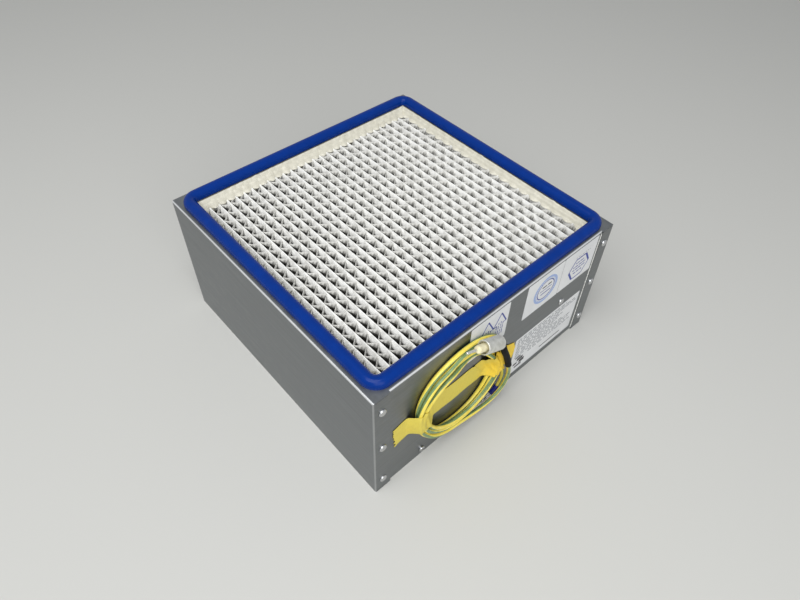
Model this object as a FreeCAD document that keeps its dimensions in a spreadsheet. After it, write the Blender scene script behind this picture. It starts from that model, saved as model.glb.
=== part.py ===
import FreeCAD, Part
import math
import os
import Sketcher

# Deep-pleat filter cell: a riveted sheet-steel case, a potted pleated pack with
# corrugated separators, a poured gasket and an earth lead taped to the front.
# Millimetres. The origin is the centre of the case's foot, +Z is up, the front is -Y.

os.makedirs("parts", exist_ok=True)
doc = FreeCAD.newDocument("filter_panel")

# Driving sizes: alias, value, what it is
sizes = [
    ("caseWidth", 305.0, "case over the side panels"),
    ("caseDepth", 305.0, "case over the corner tabs"),
    ("caseHeight", 150.0, "case over the flanges"),
    ("sheetThick", 1.0, "case sheet"),
    ("bendRadius", 2.0, "outside radius of every fold"),
    ("flangeWidth", 17.5, "top and bottom flanges, from the outside"),
    ("slitGap", 0.4, "slit between a tab and a flange"),
    ("panelGap", 1.0, "end panel's edges to the side panels"),
    ("rivetHeadDia", 7.6, "rivet head"),
    ("rivetHeadHigh", 1.6, "rivet head above the sheet"),
    ("rivetDia", 4.0, "rivet shank"),
    ("rivetTailDia", 5.4, "rivet tail behind the sheet"),
    ("rivetTailHigh", 2.0, "rivet tail length"),
    ("rivetRound", 1.35, "rounding of a rivet's head"),
    ("rivetInset", 9.0, "corner rivets from the side face"),
    ("rivetLow", 18.0, "lowest corner rivet above the foot"),
    ("rivetSpacing", 56.0, "corner rivets, one above the other"),
    ("panelRivetSide", 59.0, "end panel rivet from the right side face"),
    ("panelRivetZ", 79.0, "end panel rivet above the foot"),
    ("screwSide", 57.0, "earth screw from the left side face"),
    ("screwZ", 11.5, "earth screw above the foot"),
    ("screwHeadDia", 6.6, "earth screw head"),
    ("screwHeadHigh", 2.2, "earth screw head above the sheet"),
    ("screwDia", 4.0, "earth screw thread"),
    ("screwLong", 8.0, "earth screw below its head"),
    ("screwRound", 1.1, "rounding of the screw's head"),
    ("slotWidth", 1.0, "screwdriver slot"),
    ("slotDeep", 1.1, "screwdriver slot"),
    ("gasketWidth", 12.0, "gasket bead"),
    ("gasketHigh", 8.0, "gasket bead above the flange"),
    ("gasketInset", 4.5, "gasket from the case's side faces"),
    ("gasketCorner", 16.0, "gasket corner, outside radius"),
    ("pleatCount", 28.0, "open channels, each between two crests"),
    ("packLeft", 16.8, "potting at the left, from the side face"),
    ("packRight", 21.64, "potting at the right, from the side face"),
    ("packFront", 20.0, "potting at the front, from the case's face"),
    ("pottingGap", 0.1, "potting round the rivets' tails"),
    ("packRear", 24.0, "potting at the rear, from the case's face"),
    ("tipInset", 8.0, "crests below the flange's outer face"),
    ("mediaThick", 0.5, "filter medium"),
    ("crestWidth", 1.0, "pressed crest"),
    ("crestSolid", 1.2, "depth of the pressed crest"),
    ("flareDeep", 5.5, "crest to the straight part of a pleat"),
    ("waveLong", 14.15, "corrugation, crest to crest"),
    ("separatorThick", 0.2, "separator sheet, across the channel"),
    ("separatorGap", 0.05, "separator to the medium"),
    ("separatorInset", 0.3, "separator below the crests"),
    ("wavePhase", 9.3, "corrugation of the first separator, from the pack's rear end"),
    ("phaseStep", 2.35, "how far each separator is set from the last"),
    ("quickSwing", 2.0, "quick uneven part of that step"),
    ("quickPleats", 5.9, "pleats in one quick swing"),
    ("slowSwing", 2.7, "slow uneven part of that step"),
    ("slowPleats", 26.0, "pleats in one slow swing"),
    ("labelThick", 0.15, "stickers"),
    ("labelCorner", 1.5, "sticker corner radius"),
    ("stampDrop", 2.4, "square stickers below the case's top"),
    ("stampHigh", 46.5, "square stickers"),
    ("firstLabelWide", 49.0, "first square sticker"),
    ("firstLabelGap", 24.0, "between the first and the second"),
    ("stampWide", 51.7, "second and third square stickers"),
    ("stampGap", 0.6, "between the second and the third"),
    ("stampSide", 21.0, "third square sticker's right edge, from the side face"),
    ("dataSide", 24.0, "data sticker's right edge, from the side face"),
    ("dataZ", 11.0, "data sticker's foot above the case's foot"),
    ("dataWide", 101.0, "data sticker"),
    ("dataHigh", 59.0, "data sticker"),
    ("leadSide", 152.5, "zero of the lead's places, from the left side face"),
    ("coilX", 54.0, "coil centre, left of the lead's zero"),
    ("coilZ", 81.0, "coil centre above the foot"),
    ("coilRadius", 50.0, "coil, to the middle of its turns"),
    ("bundleWide", 13.6, "coiled turns side by side"),
    ("bundleDeep", 8.9, "coiled turns on each other"),
    ("bundleRound", 3.8, "rounding of the coil's section"),
    ("coilGap", 0.4, "coil to the stickers"),
    ("tapeThick", 0.3, "tape"),
    ("tapeWidth", 35.0, "tape"),
    ("tapeZ", 73.0, "middle of the tape above the foot"),
    ("tapeStart", 21.0, "tape's torn end, from the left side face"),
    ("tapeEnd", 177.0, "tape's other end, from the left side face"),
    ("tapeIn", 4.4, "middle of each hump, in from the middle of the turns"),
    ("tapeHump", 12.5, "half the width of a hump's top"),
    ("tapeSlope", 5.0, "run of a hump's slopes"),
    ("tapeGap", 0.5, "tape to the turns"),
    ("tapeLift", 0.05, "tape to the panel and its sticker"),
    ("leadDia", 4.3, "earth lead over its insulation"),
    ("barrelDia", 5.8, "ring terminal's insulated barrel"),
    ("barrelLong", 10.5, "ring terminal's insulated barrel"),
    ("tongueDia", 9.5, "ring terminal's ring"),
    ("tongueThick", 0.9, "ring terminal's metal"),
    ("tongueHole", 5.3, "ring terminal's hole"),
    ("tongueNeck", 5.0, "width of the strap to the ring"),
    ("tongueReach", 7.5, "barrel's end to the hole's centre"),
    ("barrelRound", 0.7, "rounding of the barrel's ends"),
    ("terminalX", 5.9, "barrel's upper end, right of the lead's zero"),
    ("terminalZ", 18.0, "barrel's upper end above the foot"),
    ("terminalTurn", 138.0, "turn of the terminal, clockwise from pointing right"),
    ("terminalGap", 0.4, "terminal to the end panel"),
    ("plugX", 63.4, "plug pin's tip, left of the lead's zero"),
    ("plugZ", 144.8, "plug pin's tip above the foot"),
    ("plugOut", 11.6, "plug's axis in front of the end panel"),
    ("plugTurn", 28.0, "how far the plug slopes down to the right"),
    ("pinDia", 2.4, "plug pin"),
    ("pinLong", 14.5, "plug pin, past the insulator"),
    ("pinRound", 1.0, "rounding of the pin's tip"),
    ("coreDia", 7.4, "plug's insulator"),
    ("coreBare", 10.0, "plug's insulator, past the shell"),
    ("coreRound", 2.4, "rounding of the insulator's nose"),
    ("coreInside", 6.0, "plug's insulator inside the shell, to its wide foot"),
    ("coreFoot", 8.0, "plug insulator's wide foot"),
    ("shellDia", 13.4, "plug shell"),
    ("shellWall", 1.2, "plug shell"),
    ("shellLong", 25.5, "plug shell"),
    ("shellEnd", 3.0, "plug shell's closed end"),
    ("shellRound", 0.6, "rounding of the plug shell's rims"),
    ("sleeveIn", 8.0, "sleeve inside the plug shell"),
    ("sleeveStraight", 5.0, "sleeve straight on behind the plug shell"),
    ("sleeveGap", 0.1, "plug shell's hole round the sleeve"),
    ("sleeveDia", 6.4, "black sleeve on the lead"),
]

sheet = doc.addObject("Spreadsheet::Sheet", "Sizes")
for row, (alias, value, note) in enumerate(sizes, start=1):
    sheet.set(f"A{row}", note)
    sheet.set(f"B{row}", str(value))
    sheet.setAlias(f"B{row}", alias)
doc.recompute()


class Term:
    """A length that knows its value and the expression that gives it."""

    def __init__(self, text, value):
        self.text = text
        self.value = value

    def joined(self, sign, other, value):
        return Term(f"({self.text} {sign} {other.text})", value)

    def __add__(self, other):
        other = term(other)
        return self.joined("+", other, self.value + other.value)

    def __sub__(self, other):
        other = term(other)
        return self.joined("-", other, self.value - other.value)

    def __mul__(self, other):
        other = term(other)
        return self.joined("*", other, self.value * other.value)

    def __truediv__(self, other):
        other = term(other)
        return self.joined("/", other, self.value / other.value)

    def __radd__(self, other):
        return term(other) + self

    def __rsub__(self, other):
        return term(other) - self

    def __rmul__(self, other):
        return term(other) * self

    def __neg__(self):
        return Term(f"(0 - {self.text})", -self.value)


def term(number):
    """Any number or length as a Term."""
    if isinstance(number, Term):
        return number
    return Term(repr(float(number)), float(number))


class Sheet:
    """The sheet's cells as attributes, so that s.caseWidth is a Term."""

    def __getattr__(self, alias):
        return Term(f"Sizes.{alias}", float(sheet.get(alias)))


s = Sheet()

# Planes and levels that several pieces share
sideFace = s.caseWidth / 2
frontFace = s.caseDepth / 2
flangeTop = s.caseHeight
insideX = sideFace - s.sheetThick
webFace = frontFace - s.sheetThick
webBack = webFace - s.sheetThick
crestTop = s.caseHeight - s.tipInset
crestFoot = s.tipInset
firstCrest = s.packLeft - sideFace
lastCrest = sideFace - s.packRight
pleatPitch = (s.caseWidth - s.packLeft - s.packRight) / s.pleatCount
packFrontY = s.packFront - frontFace
packRearY = frontFace - s.packRear
openX = sideFace - s.flangeWidth
openY = frontFace - s.flangeWidth
legOut = pleatPitch / 4 + s.mediaThick / 2
legIn = pleatPitch / 4 - s.mediaThick / 2
screwX = s.screwSide - sideFace
panelRivetX = sideFace - s.panelRivetSide
leadZero = s.leadSide - sideFace


def bind(thing, **places):
    """Tie properties to expressions; a double underscore stands for a dot."""
    for path, length in places.items():
        thing.setExpression(path.replace("__", "."), term(length).text)
    return thing


def place(thing, x=0, y=0, z=0):
    return bind(thing, Placement__Base__x=x, Placement__Base__y=y, Placement__Base__z=z)


def originOf(body, role):
    return next(f for f in body.Origin.OriginFeatures if f.Role == role)


def newBody(name):
    body = doc.addObject("PartDesign::Body", name)
    body.Label = name
    body.AllowCompound = True
    return body


def newSketch(body, name, plane, offset=0):
    """A sketch on one of the body's own planes, moved along its normal by offset."""
    sketch = body.newObject("Sketcher::SketchObject", name)
    sketch.AttachmentSupport = [(originOf(body, plane), "")]
    sketch.MapMode = "FlatFace"
    if term(offset).value:
        sketch.setExpression("AttachmentOffset.Base.z", term(offset).text)
    return sketch


startGuess = 1e-3


def fix(sketch, kind, geometry, point, length):
    """Hold a point's distance from the sketch's origin to an expression."""
    index = sketch.addConstraint(
        Sketcher.Constraint(kind, -1, 1, geometry, point, term(length).value or startGuess))
    sketch.setExpression(f"Constraints[{index}]", term(length).text)


def polygon(sketch, points):
    """A closed outline through points given as pairs of lengths."""
    points = [(term(a), term(b)) for a, b in points]
    flat = [FreeCAD.Vector(a.value, b.value, 0) for a, b in points]
    first = sketch.GeometryCount
    count = len(points)
    for i in range(count):
        sketch.addGeometry(Part.LineSegment(flat[i], flat[(i + 1) % count]), False)
    for i in range(count):
        following = first + (i + 1) % count
        sketch.addConstraint(Sketcher.Constraint("Coincident", first + i, 2, following, 1))
    for i, (a, b) in enumerate(points):
        for kind, length in (("DistanceX", a), ("DistanceY", b)):
            if length.value:
                fix(sketch, kind, first + i, 1, length)
            elif kind == "DistanceX":
                sketch.addConstraint(Sketcher.Constraint("PointOnObject", first + i, 1, -2))
            else:
                sketch.addConstraint(Sketcher.Constraint("PointOnObject", first + i, 1, -1))
    return sketch


def rectangle(sketch, left, bottom, right, top):
    return polygon(sketch, [(left, bottom), (right, bottom), (right, top), (left, top)])


def circle(sketch, x, y, diameter):
    x, y, diameter = term(x), term(y), term(diameter)
    centre = FreeCAD.Vector(x.value, y.value, 0)
    index = sketch.addGeometry(
        Part.Circle(centre, FreeCAD.Vector(0, 0, 1), diameter.value / 2), False)
    fix(sketch, "DistanceX", index, 3, x)
    fix(sketch, "DistanceY", index, 3, y)
    held = sketch.addConstraint(Sketcher.Constraint("Diameter", index, diameter.value))
    sketch.setExpression(f"Constraints[{held}]", diameter.text)
    return sketch


def pad(body, sketch, length, reverse=False, middle=False):
    feature = body.newObject("PartDesign::Pad", sketch.Name + "Pad")
    feature.Profile = sketch
    feature.Reversed = reverse
    if middle:
        feature.SideType = "Symmetric"
    bind(feature, Length=length)
    doc.recompute()
    return feature


def pocket(body, sketch, length, reverse=False):
    feature = body.newObject("PartDesign::Pocket", sketch.Name + "Pocket")
    feature.Profile = sketch
    feature.Reversed = reverse
    bind(feature, Length=length)
    before = body.Shape.Volume
    doc.recompute()
    if body.Shape.Volume >= before:
        raise RuntimeError(f"{sketch.Name} cuts nothing")
    return feature


def cutThrough(body, sketch):
    """Cut a sketch right through, both ways."""
    feature = body.newObject("PartDesign::Pocket", sketch.Name + "Cut")
    feature.Profile = sketch
    feature.SideType = "Symmetric"
    feature.Type = "ThroughAll"
    before = body.Shape.Volume
    doc.recompute()
    if body.Shape.Volume >= before:
        raise RuntimeError(f"{sketch.Name} cuts nothing")
    return feature


def edgesWhere(shape, test):
    return [f"Edge{i}" for i, edge in enumerate(shape.Edges, start=1) if test(edge)]


def facesWhere(shape, test):
    return [f"Face{i}" for i, face in enumerate(shape.Faces, start=1) if test(face)]


tolerance = 1e-4


def near(a, b):
    return abs(a - term(b).value) < tolerance


def fillet(body, base, names, radius):
    feature = body.newObject("PartDesign::Fillet", base.Name + "Fillet")
    feature.Base = (base, names)
    bind(feature, Radius=radius)
    doc.recompute()
    return feature


def hollow(body, base, names, wall):
    """Turn a block into folded sheet, open at the named faces."""
    feature = body.newObject("PartDesign::Thickness", base.Name + "Sheet")
    feature.Base = (base, names)
    feature.Reversed = True
    bind(feature, Value=wall)
    doc.recompute()
    return feature


def mirrored(source, name, normal):
    """The same piece on the other side of the case."""
    other = doc.addObject("Part::Mirroring", name)
    other.Source = source
    other.Base = FreeCAD.Vector(0, 0, 0)
    other.Normal = FreeCAD.Vector(*normal)
    other.Label = name
    return other


acrossX = (1, 0, 0)
acrossY = (0, 1, 0)
nodes = []


def keep(thing):
    """Hand a finished sub-part to the export."""
    nodes.append(thing)
    return thing


# Side panels: a web with flanges at the top and bottom and tabs round the corners

def sidePanel():
    body = newBody("side_panel_left")
    outline = newSketch(body, "sideOutline", "YZ_Plane", -sideFace)
    rectangle(outline, -frontFace, 0, frontFace, s.caseHeight)
    block = pad(body, outline, s.flangeWidth)
    webEdges = edgesWhere(block.Shape, lambda e: all(near(v.X, -sideFace) for v in e.Vertexes))
    folded = fillet(body, block, webEdges, s.bendRadius)
    openFace = facesWhere(folded.Shape, lambda f: near(f.BoundBox.XMin, s.flangeWidth - sideFace))
    hollow(body, folded, openFace, s.sheetThick)

    # The slits that part each tab from the flanges
    slits = newSketch(body, "sideSlits", "XZ_Plane")
    slitIn = s.bendRadius - sideFace
    slitOut = s.flangeWidth + s.bendRadius - sideFace
    rectangle(slits, slitIn, s.sheetThick, slitOut, s.sheetThick + s.slitGap)
    rectangle(slits, slitIn, s.caseHeight - s.sheetThick - s.slitGap, slitOut,
              s.caseHeight - s.sheetThick)
    cutThrough(body, slits)

    # Rivet holes through the tabs
    holes = newSketch(body, "sideHoles", "XZ_Plane")
    for step in range(3):
        circle(holes, s.rivetInset - sideFace, s.rivetLow + s.rivetSpacing * step, s.rivetDia)
    cutThrough(body, holes)
    return keep(body)


# End panels: a web behind the tabs, with flanges between the side panels' corners

def endPanel(name):
    body = newBody(name)
    outline = newSketch(body, name + "Outline", "XZ_Plane", webFace)
    rectangle(outline, -openX, 0, openX, s.caseHeight)
    block = pad(body, outline, s.flangeWidth - s.sheetThick, reverse=True)
    longEdges = edgesWhere(block.Shape, lambda e: near(e.BoundBox.XLength, openX * 2)
                           and near(e.BoundBox.YMin, -webFace))
    folded = fillet(body, block, longEdges, s.bendRadius)
    openFaces = facesWhere(folded.Shape, lambda f: near(f.BoundBox.YMin, -openY)
                           or near(f.BoundBox.XMin, openX) or near(f.BoundBox.XMax, -openX))
    hollow(body, folded, openFaces, s.sheetThick)

    wings = newSketch(body, name + "Wings", "XZ_Plane", webFace)
    wingTip = insideX - s.panelGap
    wingLow = s.sheetThick + s.panelGap
    rectangle(wings, -wingTip, wingLow, wingTip, s.caseHeight - wingLow)
    pad(body, wings, s.sheetThick, reverse=True)
    return body


def cornerHoles(sketch, diameter):
    """Circles round the rivets of both upright corners."""
    for side in (-1, 1):
        for step in range(3):
            circle(sketch, side * (sideFace - s.rivetInset), s.rivetLow + s.rivetSpacing * step,
                   diameter)


def rearward(thing):
    """Turn a front piece half round, to the rear."""
    thing.Placement.Rotation = FreeCAD.Rotation(FreeCAD.Vector(0, 0, 1), 180)
    return thing


def drilledPanel(name, fitted):
    """An end panel with its rivet holes; the front one also carries a rivet and a screw."""
    body = endPanel(name)
    holes = newSketch(body, name + "Holes", "XZ_Plane")
    cornerHoles(holes, s.rivetDia)
    if fitted:
        circle(holes, panelRivetX, s.panelRivetZ, s.rivetDia)
        circle(holes, screwX, s.screwZ, s.screwDia)
    cutThrough(body, holes)
    return keep(body)


sideLeft = sidePanel()
keep(mirrored(sideLeft, "side_panel_right", acrossX))
drilledPanel("end_panel_front", True)
rearward(drilledPanel("end_panel_rear", False))


# Blind rivets: a dome head, a shank through the sheets and a tail that the setting forms

def rivetProfile(body, name, grip):
    """Half a rivet's section, revolved about its axis, which runs along Y."""
    sketch = newSketch(body, name, "XY_Plane")
    polygon(sketch, [
        (0, -s.rivetHeadHigh),
        (s.rivetHeadDia / 2, -s.rivetHeadHigh),
        (s.rivetHeadDia / 2, 0),
        (s.rivetDia / 2, 0),
        (s.rivetDia / 2, grip),
        (s.rivetTailDia / 2, grip),
        (s.rivetTailDia / 2, grip + s.rivetTailHigh),
        (0, grip + s.rivetTailHigh),
    ])
    turned = body.newObject("PartDesign::Revolution", name + "Turned")
    turned.Profile = sketch
    turned.ReferenceAxis = (sketch, ["V_Axis"])
    turned.Angle = 360
    doc.recompute()
    rim = edgesWhere(turned.Shape, lambda e: near(e.BoundBox.YMin, -s.rivetHeadHigh)
                     and near(e.BoundBox.YMax, -s.rivetHeadHigh))
    return fillet(body, turned, rim, s.rivetRound)


def cornerRivets():
    body = newBody("rivets_front_left")
    head = rivetProfile(body, "cornerRivet", s.sheetThick * 2)
    row = body.newObject("PartDesign::LinearPattern", "cornerRivetRow")
    row.Originals = [body.getObject("cornerRivetTurned"), head]
    row.Direction = (originOf(body, "Z_Axis"), [""])
    bind(row, Length=s.rivetSpacing * 2)
    row.Occurrences = 3
    body.Tip = row
    place(body, s.rivetInset - sideFace, -frontFace, s.rivetLow)
    return keep(body)


def panelRivet():
    body = newBody("panel_rivet")
    rivetProfile(body, "panelRivet", s.sheetThick)
    place(body, panelRivetX, -webFace, s.panelRivetZ)
    return keep(body)


rivets = cornerRivets()
doc.recompute()
keep(mirrored(rivets, "rivets_front_right", acrossX))
rearRivets = keep(mirrored(rivets, "rivets_rear_left", acrossY))
keep(mirrored(rearRivets, "rivets_rear_right", acrossX))
panelRivet()


# Earth screw: a slotted pan head on the front panel

def earthScrew():
    body = newBody("earth_screw")
    outline = newSketch(body, "screwOutline", "XY_Plane")
    polygon(outline, [
        (0, -s.screwHeadHigh),
        (s.screwHeadDia / 2, -s.screwHeadHigh),
        (s.screwHeadDia / 2, 0),
        (s.screwDia / 2, 0),
        (s.screwDia / 2, s.screwLong),
        (0, s.screwLong),
    ])
    turned = body.newObject("PartDesign::Revolution", "screwTurned")
    turned.Profile = outline
    turned.ReferenceAxis = (outline, ["V_Axis"])
    turned.Angle = 360
    doc.recompute()
    rim = edgesWhere(turned.Shape, lambda e: near(e.BoundBox.YMin, -s.screwHeadHigh)
                     and near(e.BoundBox.YMax, -s.screwHeadHigh))
    fillet(body, turned, rim, s.screwRound)
    slot = newSketch(body, "screwSlot", "XZ_Plane", s.screwHeadHigh)
    rectangle(slot, -s.screwHeadDia, -s.slotWidth / 2, s.screwHeadDia, s.slotWidth / 2)
    pocket(body, slot, s.slotDeep)
    place(body, screwX, -webFace, s.screwZ)
    return keep(body)


earthScrew()


# Gasket: one poured bead, half round, that seals against the frame it is clamped to

def gasket():
    body = newBody("gasket")
    halfX = sideFace - s.gasketInset - s.gasketWidth / 2
    halfY = frontFace - s.gasketInset - s.gasketWidth / 2
    bend = s.gasketCorner - s.gasketWidth / 2
    path = newSketch(body, "gasketPath", "XY_Plane", flangeTop)
    roundedPath(path, halfX, halfY, bend)
    section = newSketch(body, "gasketSection", "XZ_Plane")
    beadSection(section, halfX, flangeTop, s.gasketWidth, s.gasketHigh)
    doc.recompute()
    bead = body.newObject("PartDesign::AdditivePipe", "gasketBead")
    bead.Profile = section
    bead.Spine = (path, [])
    doc.recompute()
    return keep(body)


def roundedPath(sketch, halfX, halfY, bend):
    """A rectangle about the origin with round corners, as a path."""
    hx, hy, r = halfX.value, halfY.value, bend.value
    ix, iy = hx - r, hy - r
    v = FreeCAD.Vector
    z = v(0, 0, 1)
    lines = [(v(ix, -hy, 0), v(-ix, -hy, 0)), (v(-hx, -iy, 0), v(-hx, iy, 0)),
             (v(-ix, hy, 0), v(ix, hy, 0)), (v(hx, iy, 0), v(hx, -iy, 0))]
    centres = [v(-ix, -iy, 0), v(-ix, iy, 0), v(ix, iy, 0), v(ix, -iy, 0)]
    for a, b in lines:
        sketch.addGeometry(Part.LineSegment(a, b), False)
    for i, centre in enumerate(centres):
        # each corner runs from the end of line i to the start of the next, clockwise
        start = math.radians((180, 90, 0, 270)[i])
        sketch.addGeometry(
            Part.ArcOfCircle(Part.Circle(centre, z, r), start, start + math.pi / 2), False)
    for i in range(4):
        following = (i + 1) % 4
        sketch.addConstraint(Sketcher.Constraint("Tangent", i, 2, 4 + i, 2))
        sketch.addConstraint(Sketcher.Constraint("Tangent", 4 + i, 1, following, 1))
    for i in (0, 2):
        sketch.addConstraint(Sketcher.Constraint("Horizontal", i))
    for i in (1, 3):
        sketch.addConstraint(Sketcher.Constraint("Vertical", i))
    held = sketch.addConstraint(Sketcher.Constraint("Radius", 4, r))
    sketch.setExpression(f"Constraints[{held}]", bend.text)
    for i in (5, 6, 7):
        sketch.addConstraint(Sketcher.Constraint("Equal", 4, i))
    fix(sketch, "DistanceY", 0, 1, -halfY)
    fix(sketch, "DistanceX", 1, 1, -halfX)
    fix(sketch, "DistanceY", 2, 1, halfY)
    fix(sketch, "DistanceX", 3, 1, halfX)


def beadSection(sketch, middle, foot, wide, high):
    """A flat foot, short straight sides and a round top."""
    m, f, r, h = middle.value, foot.value, wide.value / 2, high.value
    v = FreeCAD.Vector
    shoulder = f + h - r
    sketch.addGeometry(Part.LineSegment(v(m - r, f, 0), v(m + r, f, 0)), False)
    sketch.addGeometry(Part.LineSegment(v(m + r, f, 0), v(m + r, shoulder, 0)), False)
    sketch.addGeometry(Part.ArcOfCircle(
        Part.Circle(v(m, shoulder, 0), v(0, 0, 1), r), 0, math.pi), False)
    sketch.addGeometry(Part.LineSegment(v(m - r, shoulder, 0), v(m - r, f, 0)), False)
    sketch.addConstraint(Sketcher.Constraint("Coincident", 0, 2, 1, 1))
    sketch.addConstraint(Sketcher.Constraint("Tangent", 1, 2, 2, 1))
    sketch.addConstraint(Sketcher.Constraint("Tangent", 2, 2, 3, 1))
    sketch.addConstraint(Sketcher.Constraint("Coincident", 3, 2, 0, 1))
    sketch.addConstraint(Sketcher.Constraint("Vertical", 3))
    fix(sketch, "DistanceX", 0, 1, middle - wide / 2)
    fix(sketch, "DistanceY", 0, 1, foot)
    fix(sketch, "DistanceX", 0, 2, middle + wide / 2)
    fix(sketch, "DistanceY", 0, 2, foot)
    fix(sketch, "DistanceY", 2, 3, foot + high - wide / 2)


gasket()


# Potting: a poured ring that fills the case round the pack and rises to the flanges

def potting():
    body = newBody("potting")
    outline = newSketch(body, "pottingOutline", "XY_Plane", s.sheetThick)
    rectangle(outline, -insideX, -webBack, insideX, webBack)
    block = pad(body, outline, s.caseHeight - s.sheetThick * 2)
    rims = edgesWhere(block.Shape, lambda e: near(e.BoundBox.ZLength, 0))
    fillet(body, block, rims, s.bendRadius)

    well = newSketch(body, "pottingWell", "XY_Plane")
    rectangle(well, firstCrest, packFrontY, lastCrest, packRearY)
    cutThrough(body, well)

    # The meniscus at each face slopes from the crests up to the flange's inner edge
    for name, tips, lip in (("upper", crestTop, s.caseHeight - s.sheetThick),
                            ("lower", crestFoot, s.sheetThick)):
        inner = newSketch(body, name + "Tips", "XY_Plane", tips)
        rectangle(inner, firstCrest, packFrontY, lastCrest, packRearY)
        outer = newSketch(body, name + "Lip", "XY_Plane", lip)
        rectangle(outer, -openX, -openY, openX, openY)
        slope = body.newObject("PartDesign::SubtractiveLoft", name + "Meniscus")
        slope.Profile = inner
        slope.Sections = [outer]
        slope.Ruled = True
        doc.recompute()

    # Room round the rivets' tails and the screw's end
    tailRoom = s.rivetTailDia + s.pottingGap * 2
    for name, facing, reverse in (("front", -webBack, False), ("rear", webBack, True)):
        tails = newSketch(body, name + "Tails", "XZ_Plane", -facing)
        cornerHoles(tails, tailRoom)
        if name == "front":
            circle(tails, panelRivetX, s.panelRivetZ, tailRoom)
        pocket(body, tails, s.rivetTailHigh + s.pottingGap, reverse=reverse)
    thread = newSketch(body, "threadHole", "XZ_Plane", webBack)
    circle(thread, screwX, s.screwZ, s.screwDia + s.pottingGap * 2)
    pocket(body, thread, s.screwLong)
    return keep(body)


potting()


# Pleated medium: one sheet folded up and down, pressed to a crest at each fold

def mediaPack():
    body = newBody("media_pack")
    fold = newSketch(body, "pleat", "XZ_Plane", -packFrontY)
    half = s.crestWidth / 2
    upperFoot = crestTop - s.flareDeep
    lowerHead = crestFoot + s.flareDeep
    low = crestFoot + s.crestSolid
    middle = pleatPitch / 2

    def over(x):
        return firstCrest + x

    polygon(fold, [
        (over(0), crestTop),
        (over(half), crestTop),
        (over(legOut), upperFoot),
        (over(legOut), lowerHead),
        (over(middle), low),
        (over(pleatPitch - legOut), lowerHead),
        (over(pleatPitch - legOut), upperFoot),
        (over(pleatPitch - half), crestTop),
        (over(pleatPitch), crestTop),
        (over(pleatPitch), crestTop - s.crestSolid),
        (over(pleatPitch - legIn), upperFoot),
        (over(pleatPitch - legIn), lowerHead),
        (over(middle + half), crestFoot),
        (over(middle - half), crestFoot),
        (over(legIn), lowerHead),
        (over(legIn), upperFoot),
        (over(0), crestTop - s.crestSolid),
    ])
    one = pad(body, fold, packRearY - packFrontY, reverse=True)
    row = body.newObject("PartDesign::LinearPattern", "pleats")
    row.Originals = [one]
    row.Direction = (originOf(body, "X_Axis"), [""])
    bind(row, Length=pleatPitch * (s.pleatCount - 1), Occurrences=s.pleatCount)
    body.Tip = row
    doc.recompute()
    return keep(body)


mediaPack()


# Corrugated separators: one zigzag strip in each channel that opens at the top. Its free
# edge spreads with the channel, from one crest to the next.

def waveAt(y, phase, low, high, long):
    """Where the zigzag stands at y, between its low and high sides."""
    share = ((y - phase) / long) % 1.0
    rise = 2 * share if share < 0.5 else 2 - 2 * share
    return low + (high - low) * rise


def facet(*corners):
    return Part.Face(Part.makePolygon([*corners, corners[0]]))


def stripSolid(levels, stations, phase, thick):
    """A zigzag strip through levels of (height, low side, high side)."""
    faces = []
    near = [[FreeCAD.Vector(waveAt(y, phase, low, high, s.waveLong.value), y, z)
             for y in stations] for z, low, high in levels]
    far = [[FreeCAD.Vector(p.x + thick, p.y, p.z) for p in row] for row in near]
    for side in (near, far):
        foot, bend, top = side
        for i in range(len(stations) - 1):
            faces.append(facet(foot[i], foot[i + 1], bend[i + 1], bend[i]))
            faces.append(facet(bend[i], bend[i + 1], top[i + 1]))
            faces.append(facet(bend[i], top[i + 1], top[i]))
    for i in (0, -1):
        faces.append(facet(near[0][i], near[1][i], near[2][i], far[2][i], far[1][i], far[0][i]))
    for level in (0, -1):
        faces.append(facet(*near[level], *reversed(far[level])))
    shell = Part.makeShell(faces)
    shell.sewShape()
    solid = Part.makeSolid(shell)
    if solid.Volume < 0:
        solid.reverse()
    return solid


def separator(index):
    thick = s.separatorThick.value
    halfWave = s.waveLong.value / 2
    start = firstCrest.value + pleatPitch.value * index
    end = start + pleatPitch.value - thick
    half = s.crestWidth / 2
    spread = half + (legOut - half) * (s.separatorInset / s.flareDeep)
    levels = []
    for height, wall in ((crestFoot + s.flareDeep, legOut), (crestTop - s.flareDeep, legOut),
                         (crestTop - s.separatorInset, spread)):
        clear = (wall + s.separatorGap).value
        levels.append((height.value, start + clear, end - clear))
    quick = s.quickSwing.value * math.cos(2 * math.pi * index / s.quickPleats.value)
    slow = s.slowSwing.value * math.sin(2 * math.pi * index / s.slowPleats.value)
    front, rear = packFrontY.value, packRearY.value
    phase = rear - s.wavePhase.value - s.phaseStep.value * index + quick - slow
    first = math.ceil((front - phase) / halfWave)
    last = math.floor((rear - phase) / halfWave)
    turns = [phase + k * halfWave for k in range(first, last + 1)]
    stations = [front] + [y for y in turns if front + thick < y < rear - thick] + [rear]
    strip = doc.addObject("Part::Feature", f"separator_{index + 1:02d}")
    strip.Shape = stripSolid(levels, stations, phase, thick)
    strip.Label = strip.Name
    return keep(strip)


for index in range(int(s.pleatCount.value)):
    separator(index)


# Stickers on the front panel, plain

def sticker(name, x, z, wide, high):
    body = newBody(name)
    outline = newSketch(body, name + "Outline", "XZ_Plane", webFace)
    rectangle(outline, x, z, x + wide, z + high)
    film = pad(body, outline, s.labelThick)
    corners = edgesWhere(film.Shape, lambda e: near(e.BoundBox.YLength, s.labelThick))
    fillet(body, film, corners, s.labelCorner)
    return keep(body)


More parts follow.
